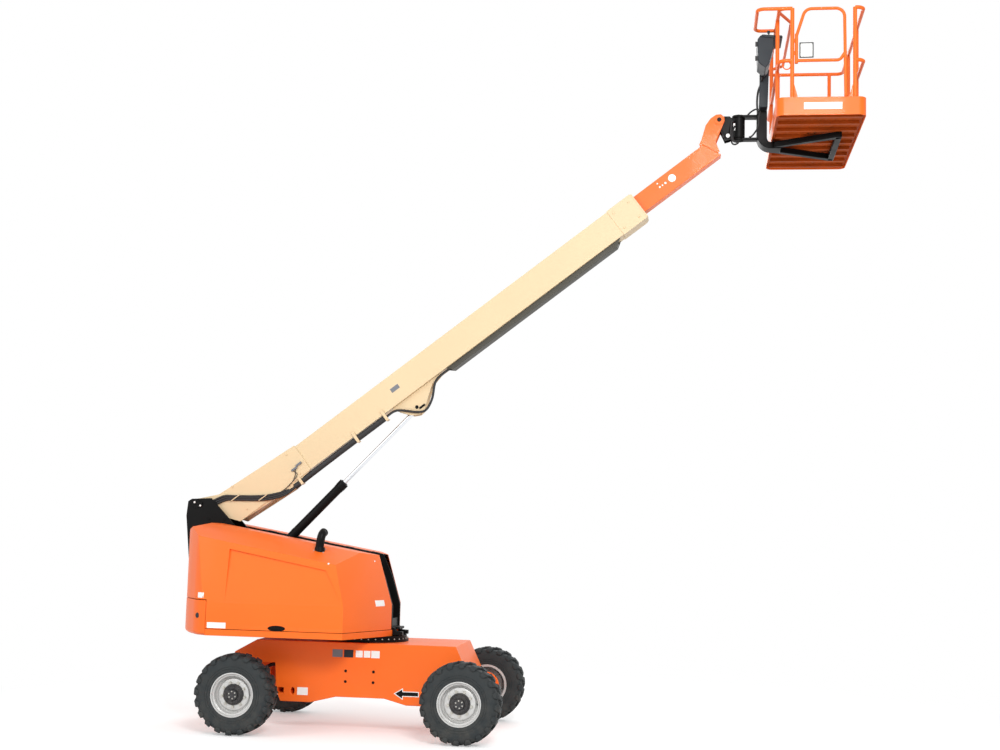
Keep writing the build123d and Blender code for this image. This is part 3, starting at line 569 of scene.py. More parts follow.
def grown(name, bm, tree, body, coat, smooth=35.0, **values):
    """One small mesh repeated by a Geometry Nodes tree and turned into a plain piece."""
    bmesh.ops.recalc_face_normals(bm, faces=bm.faces)
    seed = bpy.data.meshes.new(name + "_seed")
    bm.to_mesh(seed)
    bm.free()
    obj = bpy.data.objects.new(name, seed)
    bpy.context.scene.collection.objects.link(obj)
    modifier = obj.modifiers.new("repeat", "NODES")
    modifier.node_group = tree
    values = {**values, "Material": finish(coat)}
    for socket in tree.interface.items_tree:
        label = socket.name.replace(" ", "_")
        if socket.in_out == "INPUT" and label in values:
            modifier[socket.identifier] = values[label]
    graph = bpy.context.evaluated_depsgraph_get()
    mesh = bpy.data.meshes.new_from_object(obj.evaluated_get(graph), depsgraph=graph)
    obj.modifiers.remove(modifier)
    obj.data = mesh
    bpy.data.meshes.remove(seed)
    mesh.name = name
    if not mesh.materials:
        mesh.materials.append(finish(coat))
    mesh.shade_smooth()
    mesh.set_sharp_from_angle(angle=math.radians(smooth))
    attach(obj, body)
    return obj


def bolt_shape(radius, height, base, axis=Vector((0, -1, 0))):
    """A hexagon head on a washer, standing on base along axis."""
    bm = bmesh.new()
    axis = axis.normalized()
    add_bar(bm, base, base + axis * height * 0.25, radius * 1.35, sides=16)
    add_bar(bm, base + axis * height * 0.25, base + axis * height, radius, sides=6)
    return bm


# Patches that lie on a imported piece


def surface_of(obj):
    """A search tree over a piece's faces."""
    points = [obj.matrix_world @ v.co for v in obj.data.vertices]
    return BVHTree.FromPolygons(points, [list(p.vertices) for p in obj.data.polygons])


def add_patch(bm, surface, middle_point, across, up, width, height, lift=0.0012, parts=6):
    """A thin plate that follows a surface, width along across and height along up."""
    across = Vector(across).normalized()
    up = Vector(up).normalized()
    out = across.cross(up)
    grid = []
    for j in range(parts + 1):
        row = []
        for i in range(parts + 1):
            start = middle_point + across * width * (i / parts - 0.5) + up * height * (j / parts - 0.5)
            hit, normal, _, _ = surface.ray_cast(start + out * 0.15, -out, 0.4)
            if hit is None:
                hit, normal = start, out
            if normal.dot(out) < 0:
                normal = -normal
            row.append((bm.verts.new(hit + normal * lift), bm.verts.new(hit - normal * lift * 0.3)))
        grid.append(row)
    for j in range(parts):
        for i in range(parts):
            for k in (0, 1):
                bm.faces.new([grid[b][a][k] for a, b in ((i, j), (i + 1, j), (i + 1, j + 1), (i, j + 1))])
    rim = [(i, 0) for i in range(parts)] + [(parts, j) for j in range(parts)]
    rim += [(i, parts) for i in range(parts, 0, -1)] + [(0, j) for j in range(parts, 0, -1)]
    for (a, b), (c, d) in zip(rim, rim[1:] + rim[:1]):
        bm.faces.new((grid[b][a][0], grid[d][c][0], grid[d][c][1], grid[b][a][1]))


def add_ring_band(bm, start, end, inner, outer, sides=40):
    """A flat ring from start to end along its axis."""
    start = Vector(start)
    end = Vector(end)
    u, v = frame_from(end - start)
    rings = []
    for point, radius in ((start, outer), (end, outer), (end, inner), (start, inner)):
        rings.append([bm.verts.new(point + radius * (math.cos(2 * math.pi * i / sides) * u
                                                     + math.sin(2 * math.pi * i / sides) * v))
                      for i in range(sides)])
    for a in range(4):
        for i in range(sides):
            j = (i + 1) % sides
            bm.faces.new((rings[a][i], rings[a][j], rings[(a + 1) % 4][j], rings[(a + 1) % 4][i]))


def box_outline(w, h):
    """A rectangle as u, v pairs."""
    return [(-w / 2, -h / 2), (w / 2, -h / 2), (w / 2, h / 2), (-w / 2, h / 2)]


def round_outline(w, h, sides=20):
    """An oval or a circle as u, v pairs."""
    return [(w / 2 * math.cos(2 * math.pi * i / sides), h / 2 * math.sin(2 * math.pi * i / sides))
            for i in range(sides)]


def combined(first, second, kind):
    """The difference, sum or common part of two built solids."""
    objects = []
    for bm in (first, second):
        bmesh.ops.recalc_face_normals(bm, faces=bm.faces)
        mesh = bpy.data.meshes.new("work")
        bm.to_mesh(mesh)
        bm.free()
        obj = bpy.data.objects.new("work", mesh)
        bpy.context.scene.collection.objects.link(obj)
        objects.append(obj)
    cut = objects[0].modifiers.new("cut", "BOOLEAN")
    cut.operation = kind
    cut.solver = "EXACT"
    cut.object = objects[1]
    bpy.context.view_layer.update()
    graph = bpy.context.evaluated_depsgraph_get()
    made = bpy.data.meshes.new_from_object(objects[0].evaluated_get(graph))
    result = bmesh.new()
    result.from_mesh(made)
    bpy.data.meshes.remove(made)
    for obj in objects:
        mesh = obj.data
        bpy.data.objects.remove(obj)
        bpy.data.meshes.remove(mesh)
    bmesh.ops.dissolve_limit(result, angle_limit=math.radians(0.3), verts=result.verts, edges=result.edges)
    return result


def sliced(bm, point, normal):
    """Keeps the side of a plane that its normal points away from, closed again."""
    bmesh.ops.bisect_plane(bm, geom=bm.verts[:] + bm.edges[:] + bm.faces[:], dist=1e-6, plane_co=point,
                           plane_no=normal, clear_outer=True)
    open_edges = [e for e in bm.edges if e.is_boundary]
    if open_edges:
        bmesh.ops.holes_fill(bm, edges=open_edges, sides=0)
    return bm


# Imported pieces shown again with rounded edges: node, body, radius
ROUNDED = [
    ("chassis_frame", "chassis", 0.006),
    ("steer_axle", "chassis", 0.005),
    ("drive_axle_mounts", "chassis", 0.005),
    ("base_boom", "base_boom", 0.004),
    ("hose_tray", "base_boom", 0.002),
    ("fly_boom", "fly_boom", 0.004),
    ("fly_nose", "fly_boom", 0.003),
    ("head_bracket", "platform_head", 0.003),
    ("rotary_actuator", "platform_head", 0.004),
    ("toe_band", "platform", 0.0015),
]


# Holes through both sides of a rounded piece: outline, X, height
CUT_THROUGH = {
    "chassis_frame": [
        (box_outline(0.064, 0.056), -0.820, 0.415),
        (round_outline(0.042, 0.074), -0.690, 0.412),
    ],
}


# The head bracket's pins as X and Z, how far from them a vertex still counts as theirs,
# the share by which the upper one is slimmed and half the length that the lower one keeps
UPPER_PIN = (3.735, 6.691)
LOWER_PIN = (3.832, 6.515)
PIN_REACH = 0.0246
UPPER_PIN_SHARE = 0.045
LOWER_PIN_HALF = 0.0685
# The outline cut from below each tail plate, as s and h in the boom's own directions,
# then where the cut starts across the boom and how deep it goes
TAIL_EDGE_CUT = [(0.270, -0.449), (1.260, -0.4565), (1.260, -0.560), (0.270, -0.560)]
TAIL_PLATE_IN = 0.1304
TAIL_CUT_DEPTH = 0.03


def trim_head_pins(bm):
    """Slims the head bracket's upper pin and shortens its lower one."""
    for vert in bm.verts:
        away = Vector((vert.co.x - SLEW.x - UPPER_PIN[0], 0, vert.co.z - UPPER_PIN[1]))
        if away.length < PIN_REACH:
            vert.co -= away * UPPER_PIN_SHARE
        low = Vector((vert.co.x - SLEW.x - LOWER_PIN[0], 0, vert.co.z - LOWER_PIN[1]))
        if low.length < PIN_REACH:
            vert.co.y = max(-LOWER_PIN_HALF, min(LOWER_PIN_HALF, vert.co.y))


def straight_tail_edge(bm):
    """The base boom with the lower edge of its tail plates cut straight."""
    tool = bmesh.new()
    for sign in (-1, 1):
        corners = [boom_point(s, h, sign * TAIL_PLATE_IN) for s, h in TAIL_EDGE_CUT]
        add_prism(tool, corners, Vector((0, sign * TAIL_CUT_DEPTH, 0)))
    return combined(bm, tool, "DIFFERENCE")


def rounded_copy(node, body, radius):
    """A copy of a node with rounded edges, shown in place of it."""
    obj = NODES[node]
    slot = [row["material_slot"] for row in frame["record"]["subparts"] if row["node"] == node][0]
    bm = bmesh.new()
    bm.from_mesh(obj.data)
    bm.transform(obj.matrix_world)
    bmesh.ops.remove_doubles(bm, verts=bm.verts, dist=1e-5)
    bmesh.ops.dissolve_limit(bm, angle_limit=math.radians(0.6), verts=bm.verts, edges=bm.edges)
    bm.normal_update()
    if node == "head_bracket":
        trim_head_pins(bm)
    if node == "base_boom":
        bm = straight_tail_edge(bm)
    for outline, x, z in CUT_THROUGH.get(node, ()):
        tool = bmesh.new()
        add_prism(tool, [place(x + u, -1.0, z + v) for u, v in outline], Vector((0, 2.0, 0)))
        bm = combined(bm, tool, "DIFFERENCE")
    copy = piece(node + "_rounded", bm, body, slot, smooth=32.0, bevel=radius * sizes().edge_scale)
    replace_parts(copy, node)


# Wheels


def tyre_profile(outer, half, bead, depth):
    """The carcass section as radius, outward pairs."""
    r = outer - depth
    w = half - 0.010
    return [(bead, -w + 0.018), (bead + 0.012, -w + 0.006), (bead + 0.035, -w + 0.002), (r - 0.085, -w),
            (r - 0.050, -w + 0.001), (r - 0.022, -w + 0.008), (r - 0.006, -w + 0.026), (r, -w + 0.060),
            (r, 0.0), (r, w - 0.060), (r - 0.006, w - 0.026), (r - 0.022, w - 0.008), (r - 0.050, w - 0.001),
            (r - 0.085, w), (bead + 0.035, w - 0.002), (bead + 0.012, w - 0.006), (bead, w - 0.018)]


# Lug stations: outward place, outer radius under the tread's, shift round the tyre, half width
LUG_STATIONS = [
    (-0.012, 0.000, -0.004, 0.023),
    (0.045, 0.000, 0.012, 0.027),
    (0.088, 0.001, 0.034, 0.030),
    (0.122, 0.007, 0.043, 0.033),
    (0.146, 0.022, 0.047, 0.033),
    (0.1545, 0.042, 0.048, 0.027),
    (0.1500, 0.060, 0.048, 0.019),
]


def lug_mesh(outer, depth, side):
    """One lug of the tread, from the middle over the shoulder and down the side wall."""
    bm = bmesh.new()
    rings = []
    for out, drop, shift, half in LUG_STATIONS:
        top = outer - drop
        floor = min(top - 0.004, outer - depth - 0.012)
        inward = min(out, 0.140)
        ring = []
        for radius, across, width in ((floor, inward, half * 1.18), (top, out, half)):
            signs = (-1, 1) if not ring else (1, -1)
            for sign in signs:
                angle = (shift + sign * width) / outer
                ring.append(bm.verts.new((radius * math.cos(angle), side * across, radius * math.sin(angle))))
        rings.append(ring)
    for a, b in zip(rings, rings[1:]):
        for i in range(4):
            j = (i + 1) % 4
            bm.faces.new((a[i], a[j], b[j], b[i]))
    bm.faces.new(rings[0])
    bm.faces.new(list(reversed(rings[-1])))
    bmesh.ops.recalc_face_normals(bm, faces=bm.faces)
    edges = [e for e in bm.edges if e.is_manifold and e.calc_face_angle(0) > 0.6]
    bmesh.ops.bevel(bm, geom=edges, offset=0.003, segments=1, affect="EDGES")
    return bm


def build_tyre(name):
    low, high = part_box("tyre_" + name)
    centre = (low + high) / 2
    outer = (high.z - low.z) / 2
    half = (high.y - low.y) / 2
    bead = (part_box("rim_" + name)[1].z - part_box("rim_" + name)[0].z) / 2 - 0.012
    outward = 1 if centre.y > 0 else -1
    depth = sizes().tread_depth
    body = "wheel_" + name
    bm = bmesh.new()
    add_turned(bm, tyre_profile(outer, half, bead, depth), centre, outward, sides=96)
    carcass = piece("carcass_" + name, bm, body, "tyre", smooth=50.0)
    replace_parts(carcass, "tyre_" + name)
    count = sizes().lugs_per_side
    for side, label in ((1, "outer"), (-1, "inner")):
        first = 0.0 if side > 0 else math.pi / count
        grown("lugs_" + label + "_" + name, lug_mesh(outer, depth, side), ring_tree(), body, "tyre",
              Count=count, First_angle=first, Centre=tuple(centre))
    bm = bmesh.new()
    for radius in (0.285, 0.262):
        section = [(radius - 0.003, half - 0.012), (radius, half - 0.0075), (radius + 0.003, half - 0.012)]
        add_turned(bm, section, centre, outward, sides=96)
        add_turned(bm, section, centre, -outward, sides=96)
    piece("wall_rings_" + name, bm, body, "tyre")


# The rim's closed section as radius, outward pairs
RIM_SECTION = [(0.2120, 0.1306), (0.2250, 0.1330), (0.2260, 0.1400), (0.2245, 0.1450), (0.2205, 0.1460),
               (0.2150, 0.1450), (0.2110, 0.1400), (0.2085, 0.1300), (0.2065, 0.1220), (0.2020, 0.1180),
               (0.1960, 0.1190), (0.1925, 0.1170), (0.1905, 0.1080), (0.1895, 0.0800), (0.1870, 0.0560),
               (0.1800, 0.0480), (0.1700, 0.0520), (0.1630, 0.0640), (0.1590, 0.0720), (0.1540, 0.0745),
               (0.1200, 0.0745), (0.0955, 0.0740), (0.0955, 0.0620), (0.1500, 0.0620), (0.1650, 0.0400),
               (0.1850, 0.0300), (0.2020, 0.0250), (0.2020, -0.1450), (0.2260, -0.1455), (0.2255, -0.1330),
               (0.2120, -0.1306)]


def build_rim(name):
    """The turned rim of one wheel."""
    centre = middle("tyre_" + name)
    outward = 1 if centre.y > 0 else -1
    bm = bmesh.new()
    add_turned(bm, RIM_SECTION, centre, outward, sides=96)
    rim = piece("wheel_rim_" + name, bm, "wheel_" + name, "silver_rim", smooth=28.0)
    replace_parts(rim, "rim_" + name)
    bm = bmesh.new()
    add_turned(bm, [(0.0960, 0.0735), (0.1080, 0.0735), (0.1080, 0.0840), (0.1040, 0.0880), (0.0960, 0.0880)],
               centre, outward, sides=64)
    piece("hub_flange_" + name, bm, "wheel_" + name, "hub_iron", smooth=28.0)


def build_wheel_metal(name):
    centre = middle("tyre_" + name)
    outward = 1 if centre.y > 0 else -1
    body = "wheel_" + name
    axis = Vector((0, outward, 0))
    ring = ring_tree()
    disc = 0.0745
    grown("wheel_nuts_" + name, bolt_shape(0.0125, 0.022, Vector((0.122, outward * disc, 0)), axis), ring,
          body, "zinc_bolt", Count=9, First_angle=0.2, Centre=tuple(centre))
    grown("hub_bolts_" + name, bolt_shape(0.009, 0.012, Vector((0.074, outward * 0.102, 0)), axis), ring,
          body, "hub_iron", Count=8, First_angle=0.1, Centre=tuple(centre))
    grown("cap_screws_" + name, bolt_shape(0.0055, 0.006, Vector((0.036, outward * 0.128, 0)), axis), ring,
          body, "zinc_bolt", Count=6, First_angle=0.4, Centre=tuple(centre))
    bm = bmesh.new()
    stem = centre + Vector((0.178, outward * 0.052, 0))
    add_bar(bm, stem, stem + Vector((0.006, outward * 0.030, 0)), 0.005, sides=10)
    add_bar(bm, stem + Vector((0.006, outward * 0.030, 0)), stem + Vector((0.008, outward * 0.040, 0)), 0.007,
            sides=10)
    piece("valve_stem_" + name, bm, body, "black_rubber")


class LIFT_OT_paint_frame(bpy.types.Operator):
    """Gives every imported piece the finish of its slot"""
    bl_idname = "lift.paint_frame"
    bl_label = "Paint the frame"

    def execute(self, context):
        for row in frame["record"]["subparts"]:
            node = NODES[row["node"]]
            node.data.materials.clear()
            node.data.materials.append(finish(row["material_slot"]))
        return {"FINISHED"}


class LIFT_OT_rounded(bpy.types.Operator):
    """Shows the plates and boxes again with rounded edges"""
    bl_idname = "lift.rounded"
    bl_label = "Rounded edges"

    def execute(self, context):
        for node, body, radius in ROUNDED:
            rounded_copy(node, body, radius)
        return {"FINISHED"}


class LIFT_OT_wheels(bpy.types.Operator):
    """Builds the tread, wheel nuts, hub bolts and valve stems of the four wheels"""
    bl_idname = "lift.wheels"
    bl_label = "Wheels"

    def execute(self, context):
        for name in WHEELS:
            build_tyre(name)
            build_rim(name)
            build_wheel_metal(name)
        return {"FINISHED"}


# Chassis trim


def add_side(bm, outline, x, z, y, sign, thickness):
    """A thin plate that stands out from a plane of equal Y, drawn in X, Z about a place."""
    add_prism(bm, [place(x + u, sign * y, z + v) for u, v in outline], Vector((0, sign * thickness, 0)))


FRAME_SIDE_Y = 0.500
ARROW = [(-0.125, 0.0), (-0.050, 0.046), (-0.050, 0.019), (0.120, 0.019), (0.120, -0.019), (-0.050, -0.019),
         (-0.050, -0.046)]
ARROW_EDGE = [(-0.141, 0.0), (-0.042, 0.061), (-0.042, 0.027), (0.128, 0.027), (0.128, -0.027),
              (-0.042, -0.027), (-0.042, -0.061)]
# Bare plates on the frame's sides: X, height, length, width, finish
FRAME_PLATES = [
    (-0.580, 0.412, 0.115, 0.080, "label_white"),
    (-0.215, 0.822, 0.110, 0.080, "plate_grey"),
    (-0.095, 0.822, 0.100, 0.080, "dark_plastic"),
    (0.020, 0.822, 0.075, 0.070, "label_white"),
    (0.105, 0.822, 0.070, 0.070, "label_white"),
    (0.195, 0.822, 0.090, 0.075, "label_white"),
]
FRAME_BOLTS = (-0.120, 0.530, 0.300, 0.110)


def by_finish(name, body, rows, smooth=35.0):
    """One piece for each finish in a table of (finish, function that adds to a mesh)."""
    meshes = {}
    for coat, draw in rows:
        draw(meshes.setdefault(coat, bmesh.new()))
    for coat, bm in meshes.items():
        piece(name + "_" + coat, bm, body, coat, smooth)


def chassis_plates():
    rows = []
    for sign in (-1, 1):
        rows.append(("label_white", lambda bm, g=sign: add_side(bm, ARROW_EDGE, 0.545, 0.425, FRAME_SIDE_Y, g,
                                                                0.0008)))
        rows.append(("black_paint", lambda bm, g=sign: add_side(bm, ARROW, 0.545, 0.425, FRAME_SIDE_Y, g,
                                                                0.0016)))
        for x, z, w, h, coat in FRAME_PLATES:
            rows.append((coat, lambda bm, g=sign, a=x, b=z, c=w, d=h: add_side(
                bm, box_outline(c, d), a, b, FRAME_SIDE_Y, g, 0.0012)))
    by_finish("frame_plates", "chassis", rows)


def chassis_bolts():
    x, z, across, up = FRAME_BOLTS
    for sign, side in ((-1, "near"), (1, "far")):
        first = place(x, sign * FRAME_SIDE_Y, z)
        grown("frame_bolts_" + side, bolt_shape(0.011, 0.012, first, Vector((0, sign, 0))), row_tree(),
              "chassis", "black_paint", Count=4, Per_row=2, Step=(across, 0, 0), Row_step=(0, 0, up))
    grown("slew_ring_bolts", bolt_shape(0.0065, 0.012, Vector((0.430, 0, 0)), Vector((0, 0, 1))), ring_tree(),
          "chassis", "zinc_bolt", Count=36, First_angle=0.05, Centre=tuple(place(0, 0, 0.965)),
          Axis=(0, 0, 1))


# Hoses on the chassis: name, radius, points
CHASSIS_HOSES = [("steer_hose", 0.010, [(-0.885, 0.300, 0.610), (-0.950, 0.315, 0.655),
                                        (-1.040, 0.380, 0.610), (-1.070, 0.440, 0.500)]),
                 ("steer_hose", 0.010, [(-0.885, 0.250, 0.610), (-0.960, 0.260, 0.670),
                                        (-1.060, 0.320, 0.620), (-1.085, 0.380, 0.500)]),
                 ("motor_hose", 0.011, [(1.020, 0.495, 0.560), (1.010, 0.560, 0.600), (1.060, 0.680, 0.610),
                                        (1.120, 0.780, 0.500)]),
                 ("motor_hose", 0.011, [(1.060, 0.495, 0.600), (1.060, 0.570, 0.640), (1.110, 0.700, 0.640),
                                        (1.160, 0.800, 0.508)])]


def chassis_hoses():
    bm = bmesh.new()
    for _, radius, points in CHASSIS_HOSES:
        for sign in (-1, 1):
            path = smooth_path([place(x, sign * y, z) for x, y, z in points])
            add_pipe(bm, path, radius)
            add_bar(bm, path[0], path[1] + (path[1] - path[0]), radius * 1.5, sides=6)
            add_bar(bm, path[-2] + (path[-2] - path[-1]), path[-1], radius * 1.5, sides=6)
    piece("chassis_hoses", bm, "chassis", "black_rubber")


class LIFT_OT_chassis(bpy.types.Operator):
    """Adds the frame's bare plates, arrows, bolts and hoses"""
    bl_idname = "lift.chassis"
    bl_label = "Chassis trim"

    def execute(self, context):
        chassis_plates()
        chassis_bolts()
        chassis_hoses()
        return {"FINISHED"}


# Turntable and hood trim

# Bare labels on the near hood: middle, across, width, height
HOOD_LABELS = [
    ((-1.560, -0.99, 1.410), (0.97, -0.24, 0.0), 0.085, 0.055),
    ((-1.377, -1.05, 1.107), (1.0, 0.0, 0.0), 0.200, 0.058),
    ((0.215, -0.44, 1.355), (0.39, 0.92, 0.0), 0.165, 0.062),
]
# Small round caps on the near hood: place in X, Z, radius
HOOD_DOTS = [(-0.223, 1.770, 0.011), (0.118, 1.795, 0.010)]
LATCH = (-0.735, 1.095)


def mirrored(point, sign):
    """A near point for sign -1, and its mirror image on the far side for sign 1."""
    return Vector((point[0], -sign * point[1], point[2]))


def hood_labels(sign, side):
    surface = surface_of(bpy.data.objects["hood_shell_" + side])
    bm = bmesh.new()
    for where, across, width, height in HOOD_LABELS:
        centre = place(where[0], -sign * where[1], where[2])
        along = mirrored(across, sign) * -sign
        add_patch(bm, surface, centre, along, (0, 0, 1), width, height, lift=0.0010)
    piece("hood_labels_" + side, bm, "hood_" + side, "label_white")
    bm = bmesh.new()
    for x, z, radius in HOOD_DOTS:
        start = place(x, sign * 1.3, z)
        hit, normal, _, _ = surface.ray_cast(start, Vector((0, -sign, 0)), 1.2)
        if hit is not None:
            add_bar(bm, hit - normal * 0.002, hit + normal * 0.004, radius, sides=20, end_radius=radius * 0.7)
    piece("hood_caps_" + side, bm, "hood_" + side, "label_white")


def hood_latch(sign, side):
    """A paddle latch in its oval tray, in place of the plain handle."""
    x, z = LATCH
    y = 1.0505
    bm = bmesh.new()
    add_side(bm, round_outline(0.185, 0.058, 28), x, z, y, sign, 0.004)
    add_side(bm, box_outline(0.120, 0.026), x - 0.012, z + 0.004, y + 0.004, sign, 0.009)
    add_side(bm, round_outline(0.034, 0.034, 18), x + 0.062, z - 0.002, y + 0.004, sign, 0.010)
    latch = piece("paddle_latch_" + side, bm, "hood_" + side, "black_paint", bevel=0.0018)
    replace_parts(latch, "hood_handle_" + side)


def hood_hinge_knuckles():
    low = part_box("hood_hinges")[0]
    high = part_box("hood_hinges")[1]
    bm = bmesh.new()
    run = high.x - low.x
    fall = (low.z - high.z + 0.0104) / run
    for sign in (-1, 1):
        y = sign * (high.y - 0.0052)
        for part in range(5):
            x0 = low.x + run * (0.04 + 0.21 * part)
            z0 = high.z - 0.0052 + fall * (x0 - low.x)
            add_bar(bm, (x0, y, z0), (x0 + 0.09, y, z0 + fall * 0.09), 0.0088, sides=14)
    piece("hinge_knuckles", bm, "turntable", "black_paint")


def exhaust_elbow():
    """The bent outlet pipe on its flange, in place of the plainer packed one."""
    low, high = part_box("exhaust_outlet")
    x = low.x + 0.068 - SLEW.x
    y = (low.y + high.y) / 2
    slope = surface_of(bpy.data.objects["hood_shell_near"])
    bm = bmesh.new()
    foot = slope.ray_cast(place(x, y, 2.4), Vector((0, 0, -1)), 1.0)[0].z
    path = smooth_path([place(x - 0.004, y, foot - 0.01), place(x, y, foot + 0.06),
                        place(x + 0.008, y, foot + 0.12), place(x + 0.016, y + 0.018, foot + 0.165),
                        place(x + 0.022, y + 0.060, foot + 0.185)])
    add_pipe(bm, path, 0.044, sides=32)
    add_ring_band(bm, path[-1] - (path[-1] - path[-2]).normalized() * 0.004,
                  path[-1] + (path[-1] - path[-2]).normalized() * 0.004, 0.036, 0.046, sides=32)
    add_bar(bm, place(x, y, foot - 0.03), place(x, y, foot + 0.030), 0.060, sides=36, end_radius=0.052)
    elbow = piece("exhaust_elbow", bm, "hood_near", "black_paint", smooth=40.0)
    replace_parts(elbow, "exhaust_outlet")
    bm = bmesh.new()
    for k in range(4):
        turn = math.pi * (k + 0.5) / 2
        start = place(x + 0.070 * math.cos(turn), y + 0.070 * math.sin(turn), 2.4)
        hit = slope.ray_cast(start, Vector((0, 0, -1)), 1.0)[0]
        add_bar(bm, hit - Vector((0, 0, 0.002)), hit + Vector((0, 0, 0.007)), 0.007, sides=6)
    piece("exhaust_bolts", bm, "hood_near", "zinc_bolt")


def tower_trim():
    rows = []
    y = 0.216
    for sign in (-1, 1):
        keeper = [(-0.050, -0.016), (0.050, -0.016), (0.050, 0.016), (-0.050, 0.016)]
        rows.append(("black_paint", lambda bm, g=sign: add_side(bm, keeper, -1.925, 2.408 - 0.035, y + 0.012,
                                                                g, 0.008)))
        for x, z in ((-1.958, 2.388), (-1.892, 2.353)):
            rows.append(("label_white", lambda bm, g=sign, a=x, b=z: add_side(
                bm, round_outline(0.022, 0.022, 6), a, b - 0.006, y + 0.020, g, 0.007)))
        for x, z in ((-1.80, 2.20), (-1.62, 2.20), (-1.80, 2.02), (0.06, 1.72), (0.14, 1.52), (0.20, 1.30)):
            rows.append(("black_paint", lambda bm, g=sign, a=x, b=z: add_side(
                bm, round_outline(0.026, 0.026, 6), a, b, y, g, 0.010)))
    by_finish("tower_trim", "turntable", rows)


def turntable_plates():
    """Bare labels on the counterweight's tail and lifting-hole plugs."""
    surface = surface_of(bpy.data.objects["tail_weight"])
    bm = bmesh.new()
    for sign in (-1, 1):
        along = Vector((sign * 0.30, 0.954, 0)) * -1
        add_patch(bm, surface, place(-1.93, sign * 0.45, 1.18), along, (0, 0, 1), 0.16, 0.09, lift=0.001)
    piece("tail_labels", bm, "turntable", "label_white")
    bm = bmesh.new()
    for sign in (-1, 1):
        hit, normal, _, _ = surface.ray_cast(place(-1.60, sign * 1.3, 1.20), Vector((0, -sign, 0)), 0.6)
        if hit is not None:
            add_bar(bm, hit - normal * 0.004, hit + normal * 0.005, 0.030, sides=28, end_radius=0.026)
    piece("weight_plugs", bm, "turntable", "dark_plastic")


# Forms of the turntable and the console, in place of the plainer packed ones

SIDE_Y = 1.050
HOOD_IN = 0.227
HOOD_LOW = 1.071
HOOD_SHEET = 0.006
CREASE = 1.335
WEIGHT_X = -1.500
WEIGHT_TOP = 1.360
TABLE_LOW = 1.000
SILL = 0.065
ON_DECK = 1.0223
TAIL_RADIUS = 1.989
TAIL_CURVE = 1.500
BEND_X = -0.040
CHAMFER_X = 0.300
CHAMFER_Y = 0.240
RIDGE_Y = 0.560
RIDGE_DROP = 0.165
WALL_LEAN = 0.11
PANEL_LEAN = 0.045
FRONT_LEAN = 0.3
SHOULDER = 0.050
TOWER_IN = 0.186
TOWER_PLATE = 0.030
NOTCH = 0.115
TOWER_LINE = [(-1.960, 1.3603), (-2.055, 2.236), (-2.041, 2.392), (-2.000, 2.420), (-1.779, 2.431),
              (-1.477, 2.119), (-1.300, 2.101), (0.100, 1.862), (0.215, 1.609), (0.303, 1.318),
              (0.303, 1.072), (0.288, 1.066), (0.288, ON_DECK), (-1.488, ON_DECK), (-1.488, 1.3603)]
CONSOLE_LINE = [(4.205, 7.085), (4.240, 7.130), (4.292, 7.330), (4.290, 7.432), (4.150, 7.440),
                (4.120, 7.400), (4.128, 7.150)]
CONSOLE_LID = [(4.170, 7.448), (4.376, 7.432), (4.382, 7.412), (4.292, 7.405), (4.140, 7.425)]


def side_prism(line, y0, y1):
    """A solid from an X, Z outline between two Y planes."""
    bm = bmesh.new()
    add_prism(bm, [place(x, y0, z) for x, z in line], Vector((0, y1 - y0, 0)))
    return bm


def plan_prism(line, z0, z1):
    """A solid from an X, Y outline between two heights."""
    bm = bmesh.new()
    add_prism(bm, [place(x, y, z0) for x, y in line], Vector((0, 0, z1 - z0)))
    return bm


def tail_x(y, t=0.0):
    """The tail's X at a distance y from the middle plane, inset by t."""
    radius = TAIL_CURVE - t
    return TAIL_CURVE - TAIL_RADIUS - math.sqrt(radius * radius - y * y)


def tail_line(t=0.0):
    """Half of the tail, from the middle plane to the near corner, inset by t."""
    line = [(tail_x(0.1 * k, t), -0.1 * k) for k in range(10)]
    return line + [(-1.640 + 0.7 * t, -SIDE_Y + 0.075 + 0.8 * t), (-1.565 + 0.5 * t, -SIDE_Y + 0.020 + t)]


def front_slope():
    """The slope, in plan, of the chamfer at the front corner."""
    return (SIDE_Y - CHAMFER_Y) / (CHAMFER_X - BEND_X)


def tail_weight():
    """The tail weight with the notch for the tower."""
    half = tail_line() + [(WEIGHT_X, -SIDE_Y)]
    block = plan_prism(half + [(x, -y) for x, y in reversed(half[1:])], TABLE_LOW, WEIGHT_TOP)
    foot = cylinder_point(0.0).x - SLEW.x
    notch = plan_prism([(foot - 0.130, -NOTCH), (WEIGHT_X + 0.010, -NOTCH), (WEIGHT_X + 0.010, NOTCH),
                        (foot - 0.130, NOTCH)], ON_DECK, WEIGHT_TOP + 0.010)
    block = combined(block, notch, "DIFFERENCE")
    low = [e for e in block.edges if max(v.co.z for v in e.verts) < TABLE_LOW + 0.001
           and min(v.co.x for v in e.verts) < SLEW.x + WEIGHT_X - 0.002]
    bmesh.ops.bevel(block, geom=low, offset=0.022, offset_type="OFFSET", segments=1, profile=0.5,
                    affect="EDGES")
    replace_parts(piece("tail_weight", block, "turntable", "orange_paint", bevel=0.008), "counterweight")


def tower_plates():
    bm = bmesh.new()
    for sign in (-1, 1):
        add_prism(bm, [place(x, sign * TOWER_IN, z) for x, z in TOWER_LINE],
                  Vector((0, sign * TOWER_PLATE, 0)))
    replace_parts(piece("tower_plates", bm, "turntable", "black_paint", bevel=0.004), "boom_tower")
    back = [(-1.960, 1.400), (-1.940, 1.400), (-2.025, 2.150), (-2.045, 2.150)]
    plate = side_prism(back, -TOWER_IN + SEAT_GAP, TOWER_IN - SEAT_GAP)
    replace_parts(piece("tower_cross_plate", plate, "turntable", "black_paint", bevel=0.003), "tower_back")


